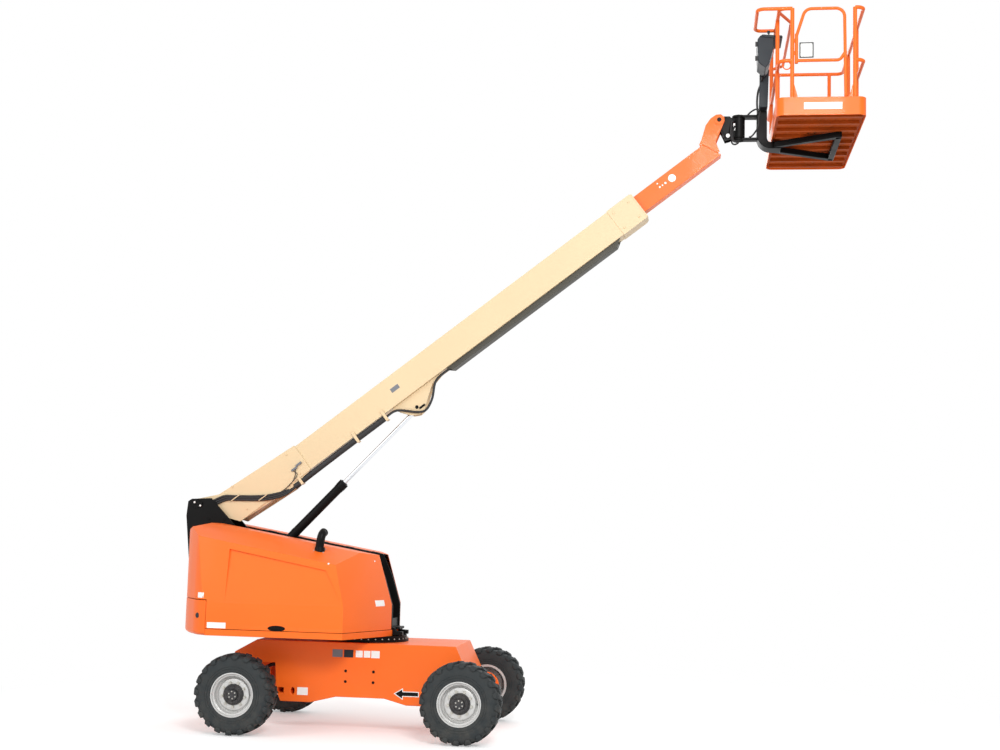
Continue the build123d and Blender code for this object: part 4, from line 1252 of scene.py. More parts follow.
def front_cover():
    """The low cover between the tower plates, with the stops on its foot."""
    half = TOWER_IN - SEAT_GAP
    low = TABLE_LOW + SILL + 0.002
    bm = bmesh.new()
    add_box(bm, place(0.268, -half, ON_DECK), place(0.286, half, 1.180))
    add_box(bm, place(0.286, -0.119, low), place(0.372, 0.119, low + 0.024))
    foot = [(0.288, 1.004), (0.288, 1.091), (0.325, 1.085), (0.345, 1.050), (0.412, 1.046), (0.412, 1.004)]
    for sign in (-1, 1):
        add_prism(bm, [place(x, sign * 0.120, z) for x, z in foot], Vector((0, sign * 0.060, 0)))
    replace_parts(piece("front_cover", bm, "turntable", "black_paint", bevel=0.003), "front_fascia")


def deck_tray():
    def outline(t):
        half = [(CHAMFER_X - t, -CHAMFER_Y), (BEND_X - 0.4 * t, -SIDE_Y + t),
                (WEIGHT_X + SEAT_GAP + t, -SIDE_Y + t)]
        return half + [(x, -y) for x, y in reversed(half)]
    tray = combined(plan_prism(outline(0.0), TABLE_LOW, TABLE_LOW + SILL),
                    plan_prism(outline(0.010), 1.022, TABLE_LOW + SILL + 0.010), "DIFFERENCE")
    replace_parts(piece("deck_tray", tray, "turntable", "orange_paint", bevel=0.003), "turntable_deck")


# The hood's edges that are softened are longer than this and turn by an angle between the two
SOFT_LENGTH = 0.15
SOFT_FROM = math.radians(8)
SOFT_TO = math.radians(76)


def hood_solid(t):
    """The near hood's outer form, or what comes out of it when t is the sheet's thickness."""
    inner = -HOOD_IN if t == 0 else -HOOD_IN + 0.020
    y = -SIDE_Y + t
    bend = BEND_X - 0.6 * t
    if t:
        ring = [(bend + (inner - y) / front_slope(), inner)]
    else:
        ring = [(CHAMFER_X, inner), (CHAMFER_X, -CHAMFER_Y)]
    ring += [(bend, y), (-1.530, y)]
    ring += [q for q in reversed(tail_line(t + 0.002)) if q[1] < -0.250]
    ring.append((tail_x(-inner, t + 0.002), inner))
    body = plan_prism(ring, HOOD_LOW - 0.020, 2.300)
    top = [(-1.317, 2.108 - t), (-1.639, 2.160 - t), (-1.889, 2.080 - t), (-TAIL_RADIUS + t, 1.900)]
    if t:
        line = [(WEIGHT_X + 0.006 + t, HOOD_LOW - 0.030), (0.460, HOOD_LOW - 0.030), (0.460, 1.110),
                (0.400, 1.358), (0.225, 1.790), (0.140, 1.860 - t)] + top
        line += [(-TAIL_RADIUS + t, WEIGHT_TOP - 0.030), (WEIGHT_X + 0.006 + t, WEIGHT_TOP - 0.030)]
    else:
        line = [(WEIGHT_X + 0.006, HOOD_LOW), (0.298, HOOD_LOW), (0.298, CREASE), (0.158, 1.800),
                (0.140, 1.860)] + top
        line += [(-TAIL_RADIUS, WEIGHT_TOP + 0.008), (WEIGHT_X + 0.006, WEIGHT_TOP + 0.008)]
    body = combined(body, side_prism(line, -1.2, 0.0), "INTERSECT")
    fall = -0.250 / 1.467
    roof = Vector((1, 0, fall)).cross(Vector((0, -(SIDE_Y - RIDGE_Y), -RIDGE_DROP)))
    body = sliced(body, place(-1.317, -RIDGE_Y, 2.108 - t), roof if roof.z > 0 else -roof)
    body = sliced(body, place(0, -SIDE_Y + t, CREASE), Vector((0, -1, WALL_LEAN)))
    bend_low = place(BEND_X, -SIDE_Y, CREASE)
    corner = place(CHAMFER_X, -CHAMFER_Y, CREASE)
    face = (corner - bend_low).cross(corner + Vector((-FRONT_LEAN, 0, 1)) - bend_low).normalized()
    face = face if face.x > 0 else -face
    body = sliced(body, bend_low - face * t, face)
    soft = []
    for edge in body.edges:
        centre = (edge.verts[0].co + edge.verts[1].co) / 2 - place(0, 0, 0)
        level = abs(edge.verts[0].co.z - edge.verts[1].co.z) < 0.01 and abs(centre.z - CREASE) < 0.02
        on_shoulder = centre.x > -1.45 and centre.y < -0.28 and centre.z > 1.1
        if edge.is_manifold and edge.calc_length() > SOFT_LENGTH and on_shoulder:
            if not level and SOFT_FROM < edge.calc_face_angle() < SOFT_TO:
                soft.append(edge)
    bmesh.ops.bevel(body, geom=soft, offset=SHOULDER - 0.6 * t, offset_type="OFFSET", segments=6, profile=0.5,
                    affect="EDGES", clamp_overlap=True)
    g = t
    pressed = [(-1.300 - g, CREASE), (-1.290 - g, 1.895 + g), (-0.246 + g, 1.700 + g), (-0.170 + g, 1.560),
               (-0.054 + g, CREASE)]
    tool = side_prism(pressed, -SIDE_Y - 0.050, -SIDE_Y + 0.200)
    tool = sliced(tool, place(0, -SIDE_Y + t, CREASE), Vector((0, 1, -(WALL_LEAN + PANEL_LEAN))))
    return combined(body, tool, "DIFFERENCE")


def hood_shell(sign, side):
    """One hollow hood, on the near or the far side."""
    bm = combined(hood_solid(0.0), hood_solid(HOOD_SHEET), "DIFFERENCE")
    if sign > 0:
        bmesh.ops.scale(bm, vec=(1, -1, 1), verts=bm.verts)
    shell = piece("hood_shell_" + side, bm, "hood_" + side, "orange_paint", smooth=28.0, bevel=0.0022)
    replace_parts(shell, "hood_" + side)


def console_form():
    bm = bmesh.new()
    for line, y0, y1 in ((CONSOLE_LINE, -0.640, -0.300), (CONSOLE_LID, -0.650, -0.290),
                         ([(4.160, 6.7803), (4.165, 7.200), (4.262, 7.200), (4.249, 6.7803)], -0.235,
                          -0.060)):
        add_prism(bm, [place(x, y0, z) for x, z in line], Vector((0, y1 - y0, 0)))
    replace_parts(piece("console_body", bm, "platform", "dark_plastic", bevel=0.006, bevel_parts=3),
                "control_console")


class LIFT_OT_forms(bpy.types.Operator):
    """Builds the tail, tower, front cover, hood shells and console in their finer forms"""
    bl_idname = "lift.forms"
    bl_label = "Turntable forms"

    def execute(self, context):
        deck_tray()
        tail_weight()
        tower_plates()
        front_cover()
        for sign, side in ((-1, "near"), (1, "far")):
            hood_shell(sign, side)
        console_form()
        return {"FINISHED"}


class LIFT_OT_turntable(bpy.types.Operator):
    """Adds the hoods' labels, latches, hinges, the tower's keepers and bolts and the tail's plates"""
    bl_idname = "lift.turntable"
    bl_label = "Turntable and hood trim"

    def execute(self, context):
        for sign, side in ((-1, "near"), (1, "far")):
            hood_labels(sign, side)
            hood_latch(sign, side)
        hood_hinge_knuckles()
        exhaust_elbow()
        tower_trim()
        turntable_plates()
        return {"FINISHED"}


# Engine bay


def engine_bay():
    """A ribbed engine with cover, fan, air cleaner and belt guard under the near hood."""
    bm = bmesh.new()
    add_box(bm, place(-1.16, -0.74, 1.10), place(-0.62, -0.42, 1.40))
    for k in range(6):
        x = -1.13 + 0.098 * k
        add_box(bm, place(x, -0.75, 1.14), place(x + 0.016, -0.41, 1.37))
    add_box(bm, place(-1.12, -0.70, 1.02), place(-0.66, -0.46, 1.10))
    block = piece("engine", bm, "turntable", "plate_grey", bevel=0.004)
    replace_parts(block, "engine_block")
    bm = bmesh.new()
    add_box(bm, place(-1.10, -0.66, 1.40), place(-0.68, -0.50, 1.475))
    add_bar(bm, place(-0.80, -0.58, 1.475), place(-0.80, -0.58, 1.495), 0.030, sides=24)
    add_bar(bm, place(-1.34, -0.86, 1.30), place(-1.34, -0.86, 1.58), 0.085, sides=40)
    add_bar(bm, place(-1.34, -0.86, 1.58), place(-1.34, -0.86, 1.60), 0.090, sides=40)
    add_box(bm, place(-1.38, -0.88, 1.0223), place(-1.30, -0.40, 1.29))
    piece("engine_covers", bm, "turntable", "black_paint", bevel=0.005)
    bm = bmesh.new()
    add_box(bm, place(-0.50, -0.82, 1.06), place(-0.44, -0.36, 1.50))
    add_ring_band(bm, place(-0.52, -0.59, 1.28), place(-0.50, -0.59, 1.28), 0.180, 0.200, sides=48)
    for k in range(7):
        turn = 2 * math.pi * k / 7
        out = Vector((0, math.cos(turn), math.sin(turn)))
        add_bar(bm, place(-0.54, -0.59, 1.28), place(-0.53, -0.59, 1.28) + out * 0.16, 0.014, sides=8,
                end_radius=0.026)
    add_bar(bm, place(-0.62, -0.59, 1.28), place(-0.52, -0.59, 1.28), 0.035, sides=24)
    piece("radiator_fan", bm, "turntable", "black_paint", bevel=0.002)
    bm = bmesh.new()
    path = smooth_path([place(-0.66, -0.72, 1.34), place(-0.55, -0.80, 1.42), place(-0.46, -0.72, 1.56),
                        place(-0.40, -0.70, 1.70)])
    add_pipe(bm, path, 0.026, sides=18)
    path = smooth_path([place(-1.30, -0.80, 1.50), place(-1.22, -0.72, 1.56), place(-1.10, -0.64, 1.50),
                        place(-1.06, -0.60, 1.44)])
    add_pipe(bm, path, 0.030, sides=18)
    for k in range(3):
        z = 1.08 + 0.03 * k
        add_pipe(bm, smooth_path([place(-0.64, -0.46, z + 0.1), place(-0.58, -0.36, z + 0.05),
                                  place(-0.80, -0.30, z), place(-1.20, -0.28, z)]), 0.011)
    piece("engine_pipes", bm, "turntable", "black_rubber")


def tank_bay():
    """Two rounded tanks with caps and straps on their trays under the far hood."""
    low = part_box("side_tanks")[0]
    shift = Vector((low.x - place(-1.38, 0, 0).x, 0, 0))
    bm = bmesh.new()
    add_box(bm, place(-1.36, 0.35, 1.04) + shift, place(-0.72, 0.86, 1.54) + shift)
    add_box(bm, place(-0.60, 0.35, 1.04) + shift, place(-0.10, 0.82, 1.44) + shift)
    tanks = piece("tanks", bm, "turntable", "dark_plastic", bevel=0.045, bevel_parts=5)
    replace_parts(tanks, "side_tanks")
    bm = bmesh.new()
    for x0, x1, z in ((-1.38, -0.70, 1.0223), (-0.62, -0.08, 1.0223)):
        add_box(bm, place(x0, 0.34, z) + shift, place(x1, 0.86, z + 0.022) + shift)
    for x, y1, z1 in ((-1.22, 0.863, 1.545), (-0.86, 0.863, 1.545), (-0.50, 0.823, 1.445),
                      (-0.20, 0.823, 1.445)):
        for a, b, c, d in ((0.345, y1, z1 - 0.002, z1 + 0.002), (y1 - 0.002, y1 + 0.002, 1.03, z1),
                           (0.345, 0.349, 1.03, z1)):
            add_box(bm, place(x, a, c) + shift, place(x + 0.035, b, d) + shift)
    for x, y, z in ((-1.04, 0.60, 1.54), (-0.36, 0.56, 1.44)):
        add_bar(bm, place(x, y, z) + shift, place(x, y, z + 0.035) + shift, 0.045, sides=28)
    piece("tank_fittings", bm, "turntable", "black_paint", bevel=0.0015)


class LIFT_OT_bays(bpy.types.Operator):
    """Builds the engine and the tanks that show when the hoods are up"""
    bl_idname = "lift.bays"
    bl_label = "Engine and tanks"

    def execute(self, context):
        engine_bay()
        tank_bay()
        return {"FINISHED"}


# Boom trim

EYE_AT = (2.600, -0.600)
CYLINDER_LENGTH = 3.250


def add_boom_box(bm, s0, s1, h0, h1, y0, y1):
    """A box in the boom's own directions, s along it and h square to it."""
    corners = [boom_point(s, h, y0) for s, h in ((s0, h0), (s1, h0), (s1, h1), (s0, h1))]
    add_prism(bm, corners, Vector((0, y1 - y0, 0)))


def add_boom_disc(bm, s, h, y, sign, radius, height, sides=24):
    """A short disc that stands out from the boom's side."""
    start = boom_point(s, h, sign * y)
    add_bar(bm, start, start + Vector((0, sign * height, 0)), radius, sides=sides)


def cylinder_point(length, off=0.0, y=0.0):
    """A point at a length along the lift cylinder from its foot, off square to it."""
    c = math.cos(CYLINDER_ANGLE)
    n = math.sin(CYLINDER_ANGLE)
    eye = boom_point(*EYE_AT)
    back = CYLINDER_LENGTH - length
    return Vector((eye.x - back * c - off * n, y, eye.z - back * n + off * c))


# The tied hoses along the tail: s, h, y of the middle of the run
HOSE_RUN = [(0.150, -0.104, -0.1620), (0.293, -0.141, -0.1620), (0.394, -0.216, -0.1620),
            (0.574, -0.350, -0.1620), (0.700, -0.430, -0.1600), (0.860, -0.492, -0.1400),
            (1.000, -0.500, -0.1150), (1.300, -0.498, -0.1050)]
# Cream straps across the run and clips under the boom, by their length along the boom
STRAPS = [(0.385, -0.209), (0.640, -0.392)]
CLIPS = (1.085, 1.860, 2.260)


def boom_hoses():
    """Three hoses side by side from the pivot to the underside, then a sleeve up to the bracket."""
    radius = sizes().hose_diameter * 0.72
    bm = bmesh.new()
    for k in (-1, 0, 1):
        path = []
        for s, h, y in HOSE_RUN:
            flat = min(1.0, max(0.0, (s - 0.80) / 0.30))
            path.append(boom_point(s, h + k * 0.024 * (1.0 - flat), y + k * 0.020 * flat))
        add_pipe(bm, smooth_path(path), radius, sides=14)
    run = piece("tied_hoses", bm, "base_boom", "black_rubber")
    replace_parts(run, "hose_bundle")
    bm = bmesh.new()
    add_pipe(bm, smooth_path([boom_point(0.990, -0.500, -0.112), boom_point(1.300, -0.494, -0.105),
                              boom_point(1.800, -0.490, -0.104), boom_point(2.270, -0.490, -0.104)]), 0.033,
             sides=20)
    add_pipe(bm, smooth_path([boom_point(2.240, -0.486, -0.104), boom_point(2.400, -0.500, -0.102),
                              boom_point(2.560, -0.640, -0.100), boom_point(2.660, -0.688, -0.100),
                              boom_point(2.790, -0.630, -0.098), boom_point(2.930, -0.500, -0.092),
                              boom_point(3.050, -0.474, -0.080), boom_point(3.160, -0.476, -0.070)]), 0.013,
             sides=14)
    for k, (s, h) in enumerate(((1.08, -0.344), (1.15, -0.330))):
        add_pipe(bm, smooth_path([boom_point(0.86, -0.470, -0.164), boom_point(1.00, -0.448, -0.160),
                                  boom_point(1.07, -0.430 + 0.02 * k, -0.156),
                                  boom_point(1.10, -0.400 + 0.03 * k, -0.152), boom_point(s, h, -0.151)]),
                 0.004, sides=8)
    piece("boom_cables", bm, "base_boom", "black_rubber")
    bm = bmesh.new()
    for s, h in STRAPS:
        for y0, y1, s0, s1 in ((-0.1800, -0.1785, -0.058, 0.058), (-0.1800, -0.1460, 0.055, 0.058),
                               (-0.1800, -0.1460, -0.058, -0.055)):
            add_boom_box(bm, s + s0, s + s1, h - 0.005, h + 0.005, y0, y1)
    for s in CLIPS:
        add_boom_box(bm, s - 0.016, s + 0.016, -0.532, -0.524, -0.1420, -0.0620)
        add_boom_box(bm, s - 0.016, s + 0.016, -0.532, -0.400, -0.1490, -0.1465 if s < 1.25 else -0.1425)
    piece("hose_clips", bm, "base_boom", "cream_paint", bevel=0.0008)
    bm = bmesh.new()
    for s, h, y in ((1.08, -0.344, -0.147), (1.15, -0.330, -0.147)):
        add_boom_box(bm, s - 0.010, s + 0.062, h - 0.012, h + 0.012, y - 0.020, y)
    piece("cable_plugs", bm, "base_boom", "plate_grey", bevel=0.003)


def boom_plates():
    bm = bmesh.new()
    add_boom_box(bm, 2.475, 2.580, -0.318, -0.268, -0.1312, -0.1300)
    piece("boom_plate", bm, "base_boom", "plate_grey")
    bm = bmesh.new()
    for sign in (-1, 1):
        for s, h in ((5.60, -0.195), (5.80, -0.195), (5.60, -0.395), (5.80, -0.395)):
            add_boom_disc(bm, s, h, 0.138, sign, 0.013, 0.009, sides=6)
        for s, h in ((0.42, -0.08), (0.42, -0.38), (1.12, -0.16), (1.12, -0.42)):
            add_boom_disc(bm, s, h, 0.146, sign, 0.012, 0.008, sides=6)
    piece("boom_bolts", bm, "base_boom", "cream_paint", bevel=0.001)
    bm = bmesh.new()
    for sign in (-1, 1):
        add_boom_disc(bm, EYE_AT[0], EYE_AT[1], 0.086, sign, 0.020, 0.004, sides=28)
        add_boom_box(bm, 2.615, 2.690, -0.640, -0.618, sign * 0.0800, sign * 0.0880)
        add_boom_disc(bm, 2.675, -0.629, 0.088, sign, 0.009, 0.007, sides=6)
    piece("cylinder_pin_keepers", bm, "base_boom", "black_paint", bevel=0.001)


def cylinder_trim():
    bm = bmesh.new()
    for length, radius in ((0.200, 0.0530), (1.300, 0.0525), (1.980, 0.0530)):
        add_ring_band(bm, cylinder_point(length), cylinder_point(length + 0.024), 0.0495, radius)
    add_pipe(bm, smooth_path([cylinder_point(0.160, 0.0, 0.045), cylinder_point(0.190, 0.0, 0.064),
                              cylinder_point(0.260, 0.0, 0.061), cylinder_point(1.000, 0.0, 0.061),
                              cylinder_point(1.880, 0.0, 0.061), cylinder_point(1.950, 0.0, 0.064),
                              cylinder_point(1.975, 0.0, 0.045)]), 0.009, sides=12)
    for length in (0.50, 1.00, 1.50):
        add_prism(bm, [cylinder_point(length, -0.014, 0.045), cylinder_point(length + 0.02, -0.014, 0.045),
                       cylinder_point(length + 0.02, 0.014, 0.045), cylinder_point(length, 0.014, 0.045)],
                  Vector((0, 0.027, 0)))
    piece("barrel_line", bm, "lift_barrel", "black_paint", bevel=0.001)
    bm = bmesh.new()
    add_ring_band(bm, cylinder_point(2.079), cylinder_point(2.088), 0.0255, 0.0400)
    piece("rod_wiper", bm, "lift_barrel", "black_rubber")


# Marks on the fly boom: s, h, radius
FLY_MARKS = [(6.344, -0.263, 0.042), (6.255, -0.262, 0.012), (6.215, -0.264, 0.008), (6.180, -0.262, 0.010),
             (6.180, -0.215, 0.008)]


def fly_trim():
    bm = bmesh.new()
    for s, h, radius in FLY_MARKS:
        add_boom_disc(bm, s, h, 0.085, -1, radius, 0.001, sides=28)
    piece("fly_marks", bm, "fly_boom", "label_white")
    bm = bmesh.new()
    for sign in (-1, 1):
        pin = place(3.735, sign * 0.085, 6.691)
        add_ring_band(bm, pin, pin + Vector((0, sign * 0.005, 0)), 0.0245, 0.052, sides=40)
        for x, z in ((3.700, 6.640), (3.668, 6.560)):
            start = place(x, sign * 0.085, z)
            add_bar(bm, start, start + Vector((0, sign * 0.007, 0)), 0.010, sides=6)
    piece("nose_bosses", bm, "fly_boom", "orange_paint", bevel=0.001)
    bm = bmesh.new()
    for k in range(3):
        y = -0.045 + 0.045 * k
        add_pipe(bm, smooth_path([place(3.560, y, 6.380), place(3.595, y - 0.01, 6.352),
                                  place(3.625, y, 6.380), place(3.615, y + 0.01, 6.420)]), 0.008, sides=12)
    piece("nose_hoses", bm, "fly_boom", "black_rubber")


class LIFT_OT_boom(bpy.types.Operator):
    """Adds the boom's clips, cables, bare plates, bolts, the cylinder's line and the fly boom's marks"""
    bl_idname = "lift.boom"
    bl_label = "Boom and cylinder trim"

    def execute(self, context):
        boom_hoses()
        boom_plates()
        cylinder_trim()
        fly_trim()
        return {"FINISHED"}


# Platform and its head

FLOOR_Z = 6.468
BASKET_X = (4.295, 5.195)
BASKET_HALF = 1.115
ARM_TOP = FLOOR_Z - 0.038
SLOT = (0.052, 0.013)
SLOT_PITCH = (0.072, 0.045)


def floor_outline(edge, radius, parts=6):
    """The basket's rounded outline in plan, moved in by edge."""
    x0, x1 = BASKET_X[0] + edge, BASKET_X[1] - edge
    half = BASKET_HALF - edge
    line = []
    for cx, cy, start in ((x1 - radius, half - radius, 0), (x0 + radius, half - radius, 90),
                          (x0 + radius, -half + radius, 180), (x1 - radius, -half + radius, 270)):
        for k in range(parts + 1):
            turn = math.radians(start + 90 * k / parts)
            line.append((cx + radius * math.cos(turn), cy + radius * math.sin(turn)))
    return line


def basket_floor():
    """A floor plate with rows of slots, on nine cross ribs."""
    plate = plan_prism(floor_outline(0.0053, 0.0767), FLOOR_Z - 0.003, FLOOR_Z + 0.001)
    tool = bmesh.new()
    columns = int((BASKET_X[1] - BASKET_X[0] - 0.14) / SLOT_PITCH[0])
    rows = int((2 * BASKET_HALF - 0.16) / SLOT_PITCH[1])
    middle_x = sum(BASKET_X) / 2
    for i in range(columns):
        for j in range(rows):
            x = middle_x + (i - (columns - 1) / 2) * SLOT_PITCH[0]
            y = (j - (rows - 1) / 2) * SLOT_PITCH[1]
            line = [(x + u, y + v) for u, v in box_outline(*SLOT)]
            add_prism(tool, [place(a, b, FLOOR_Z - 0.010) for a, b in line], Vector((0, 0, 0.020)))
    plate = combined(plate, tool, "DIFFERENCE")
    # The floor plate and its ribs wear the orange darkened as painted shade
    floor = piece("slotted_floor", plate, "platform", "shaded_orange")
    bm = bmesh.new()
    for k in range(-4, 5):
        y = k * 0.225 * BASKET_HALF
        add_box(bm, place(BASKET_X[0] + 0.035, y - 0.025, ARM_TOP + SEAT_GAP),
                place(BASKET_X[1] - 0.035, y + 0.025, FLOOR_Z - 0.003))
    piece("floor_ribs", bm, "platform", "shaded_orange", bevel=0.003)
    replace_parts(floor, "basket_floor")


def arc(cx, cz, radius, start, end, parts=8):
    """Points along an arc between two angles in degrees."""
    return [(cx + radius * math.cos(math.radians(start + (end - start) * k / parts)),
             cz + radius * math.sin(math.radians(start + (end - start) * k / parts)))
            for k in range(parts + 1)]


def support_arms():
    """The arms from the actuator, the mast with its rounded bend and the arms under the floor."""
    turn_x = 3.950
    bm = bmesh.new()
    for z0, z1, half, radius in ((6.7223, 6.750, 0.060, 0.075), (6.470, 6.4997, 0.045, 0.060)):
        add_box(bm, place(turn_x, -half, z0), place(4.160, half, z1))
        add_bar(bm, place(turn_x, 0, z0), place(turn_x, 0, z1), radius, sides=40)
    mast = [(4.140, 6.780)] + arc(4.300, 6.520, 0.160, 180, 270) + [(4.400, 6.360), (4.400, ARM_TOP)]
    mast += arc(4.300, 6.480, 0.050, 270, 180, 5) + [(4.250, 6.780)]
    add_prism(bm, [place(x, -0.105, z) for x, z in mast], Vector((0, 0.210, 0)))
    for sign in (-1, 1):
        line = [(4.330, sign * 0.060), (4.330, sign * 0.130), (4.950, sign * 0.490), (5.010, sign * 0.490),
                (5.010, sign * 0.430)]
        add_prism(bm, [place(x, y, ARM_TOP - 0.062) for x, y in line], Vector((0, 0, 0.062)))
    add_box(bm, place(4.945, -0.480, ARM_TOP - 0.062), place(5.010, 0.480, ARM_TOP))
    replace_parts(piece("support_arms", bm, "platform", "black_paint", bevel=0.007, bevel_parts=3),
                "platform_support")


def basket_signs():
    y = BASKET_HALF
    bm = bmesh.new()
    add_prism(bm, [place(x, -y - SEAT_GAP, z) for x, z in ((4.570, 6.490), (4.950, 6.490), (4.950, 6.560),
                                                         (4.570, 6.560))], Vector((0, -0.0012, 0)))
    piece("toe_label", bm, "platform", "label_white")
    for name, x0, x1, z0, z1, depth, coat in (
            ("gate_sign_frame", 4.524, 4.666, 7.037, 7.198, 0.0024, "black_paint"),
            ("gate_sign", 4.536, 4.654, 7.049, 7.186, 0.0034, "label_white")):
        bm = bmesh.new()
        add_box(bm, place(x0, -1.088 - depth, z0), place(x1, -1.088 + depth * 0.5, z1))
        piece(name, bm, "gate", coat)
    bm = bmesh.new()
    centre = place(4.400, -1.060, 6.968)
    path = [centre + Vector((0.040 * math.cos(math.radians(a)), 0, 0.042 * math.sin(math.radians(a))))
            for a in range(0, 361, 15)]
    add_pipe(bm, path, 0.006, sides=10)
    piece("lanyard_ring", bm, "platform", "orange_paint", smooth=60.0)


def console_controls():
    """Joysticks, switches and a bare plate on the console's lid, with lugs at its side."""
    top = 7.440
    bm = bmesh.new()
    for y in (-0.590, -0.350):
        add_bar(bm, place(4.240, y, top - 0.004), place(4.240, y, top + 0.012), 0.026, sides=24)
        add_bar(bm, place(4.240, y, top + 0.010), place(4.238, y, top + 0.045), 0.007, sides=12)
        add_bar(bm, place(4.238, y, top + 0.035), place(4.236, y, top + 0.062), 0.013, sides=16,
                end_radius=0.016)
    for k in range(6):
        y = -0.545 + 0.030 * k
        add_bar(bm, place(4.300, y, top - 0.008), place(4.302, y, top + 0.014), 0.004, sides=8)
    for z in (7.175, 7.330):
        add_box(bm, place(4.098, -0.630, z), place(4.130, -0.600, z + 0.045))
    piece("console_controls", bm, "platform", "black_rubber", bevel=0.001)
    bm = bmesh.new()
    add_box(bm, place(4.176, -0.640, 7.4478), place(4.205, -0.300, 7.4496))
    add_bar(bm, place(4.345, -0.600, 7.430), place(4.345, -0.600, 7.452), 0.014, sides=20)
    piece("console_plate", bm, "platform", "label_white")


def head_trim():
    rows = []
    for sign in (-1, 1):
        rows.append(("label_white", lambda bm, g=sign: add_bar(bm, place(3.832, g * 0.0684, 6.515),
                                                               place(3.832, g * 0.0694, 6.515), 0.022,
                                                               sides=28)))
    rows.append(("label_white", lambda bm: add_box(bm, place(3.890, -0.0518, 6.579),
                                                   place(3.934, -0.0503, 6.658))))
    for k in range(6):
        turn = math.pi * (k + 0.5) / 3
        x, y = 3.950 + 0.050 * math.cos(turn), 0.050 * math.sin(turn)
        rows.append(("zinc_bolt", lambda bm, a=x, b=y: add_bar(bm, place(a, b, 6.750), place(a, b, 6.758),
                                                               0.007, sides=6)))
    rows.append(("black_paint", lambda bm: add_box(bm, place(3.885, 0.052, 6.560),
                                                   place(3.945, 0.100, 6.680))))
    by_finish("head_trim", "platform_head", rows[:3] + rows[-1:])
    by_finish("support_trim", "platform", rows[3:-1])


# Hose loops at the head: radius, points
HEAD_HOSES = [
    (0.009, [(3.905, -0.052, 6.625), (3.886, -0.090, 6.570), (3.876, -0.103, 6.500), (3.892, -0.095, 6.456),
             (3.925, -0.060, 6.450), (3.948, -0.018, 6.453)]),
    (0.009, [(3.900, -0.052, 6.690), (3.872, -0.108, 6.650), (3.862, -0.118, 6.560), (3.866, -0.112, 6.490),
             (3.890, -0.090, 6.447), (3.930, -0.030, 6.451)]),
    (0.009, [(3.905, 0.052, 6.700), (3.880, 0.100, 6.660), (3.872, 0.112, 6.560), (3.880, 0.100, 6.480),
             (3.910, 0.060, 6.450), (3.944, 0.016, 6.453)]),
]
SUPPORT_HOSES = [
    (0.009, [(4.060, -0.030, 6.507), (4.085, -0.036, 6.512), (4.115, -0.060, 6.540), (4.155, -0.112, 6.600),
             (4.160, -0.114, 6.700), (4.180, -0.113, 6.790)]),
    (0.009, [(4.030, 0.030, 6.752), (4.080, 0.010, 6.800), (4.140, -0.020, 6.822), (4.200, -0.040, 6.790),
             (4.215, -0.060, 6.840)]),
    (0.011, [(4.150, -0.115, 6.740), (4.140, -0.125, 6.860), (4.150, -0.140, 6.980), (4.180, -0.200, 7.060),
             (4.190, -0.320, 7.095)]),
]


def platform_hoses():
    for name, body, rows in (("head_hoses", "platform_head", HEAD_HOSES),
                             ("support_hoses", "platform", SUPPORT_HOSES)):
        bm = bmesh.new()
        for radius, points in rows:
            add_pipe(bm, smooth_path([place(*q) for q in points]), radius, sides=12)
        piece(name, bm, body, "black_rubber")


class LIFT_OT_platform(bpy.types.Operator):
    """Builds the slotted floor, the arms under it, the signs, the console's controls and the head's hoses"""
    bl_idname = "lift.platform"
    bl_label = "Platform and head"

    def execute(self, context):
        basket_floor()
        support_arms()
        basket_signs()
        console_controls()
        head_trim()
        platform_hoses()
        return {"FINISHED"}


# Studio

CAMERA_PLACE = (3.494, -15.701, 2.147)
CAMERA_YAW = -7.683
CAMERA_PITCH = 6.171
CAMERA_ROLL = 1.489
CAMERA_FOCAL_PX = 1446.93
PICTURE_WIDTH = 1000
SENSOR = 36.0


def make_camera():
    yaw, pitch, roll = (math.radians(a) for a in (CAMERA_YAW, CAMERA_PITCH, CAMERA_ROLL))
    ahead = Vector((math.sin(yaw) * math.cos(pitch), math.cos(yaw) * math.cos(pitch), math.sin(pitch)))
    right = Vector((math.cos(yaw), -math.sin(yaw), 0))
    up = right.cross(ahead)
    right, up = (math.cos(roll) * right + math.sin(roll) * up, math.cos(roll) * up - math.sin(roll) * right)
    data = bpy.data.cameras.new("photo_view")
    data.sensor_width = SENSOR
    data.lens = CAMERA_FOCAL_PX * SENSOR / PICTURE_WIDTH
    data.clip_end = 200
    camera = bpy.data.objects.new("photo_view", data)
    camera.matrix_world = Matrix((
        (right.x, up.x, -ahead.x, SLEW.x + CAMERA_PLACE[0]),
        (right.y, up.y, -ahead.y, CAMERA_PLACE[1]),
        (right.z, up.z, -ahead.z, CAMERA_PLACE[2]),
        (0, 0, 0, 1)))
    bpy.context.scene.collection.objects.link(camera)
    bpy.context.scene.camera = camera


# Between these distances the floor turns into plain white
FLOOR_FADE = (3.6, 7.0)


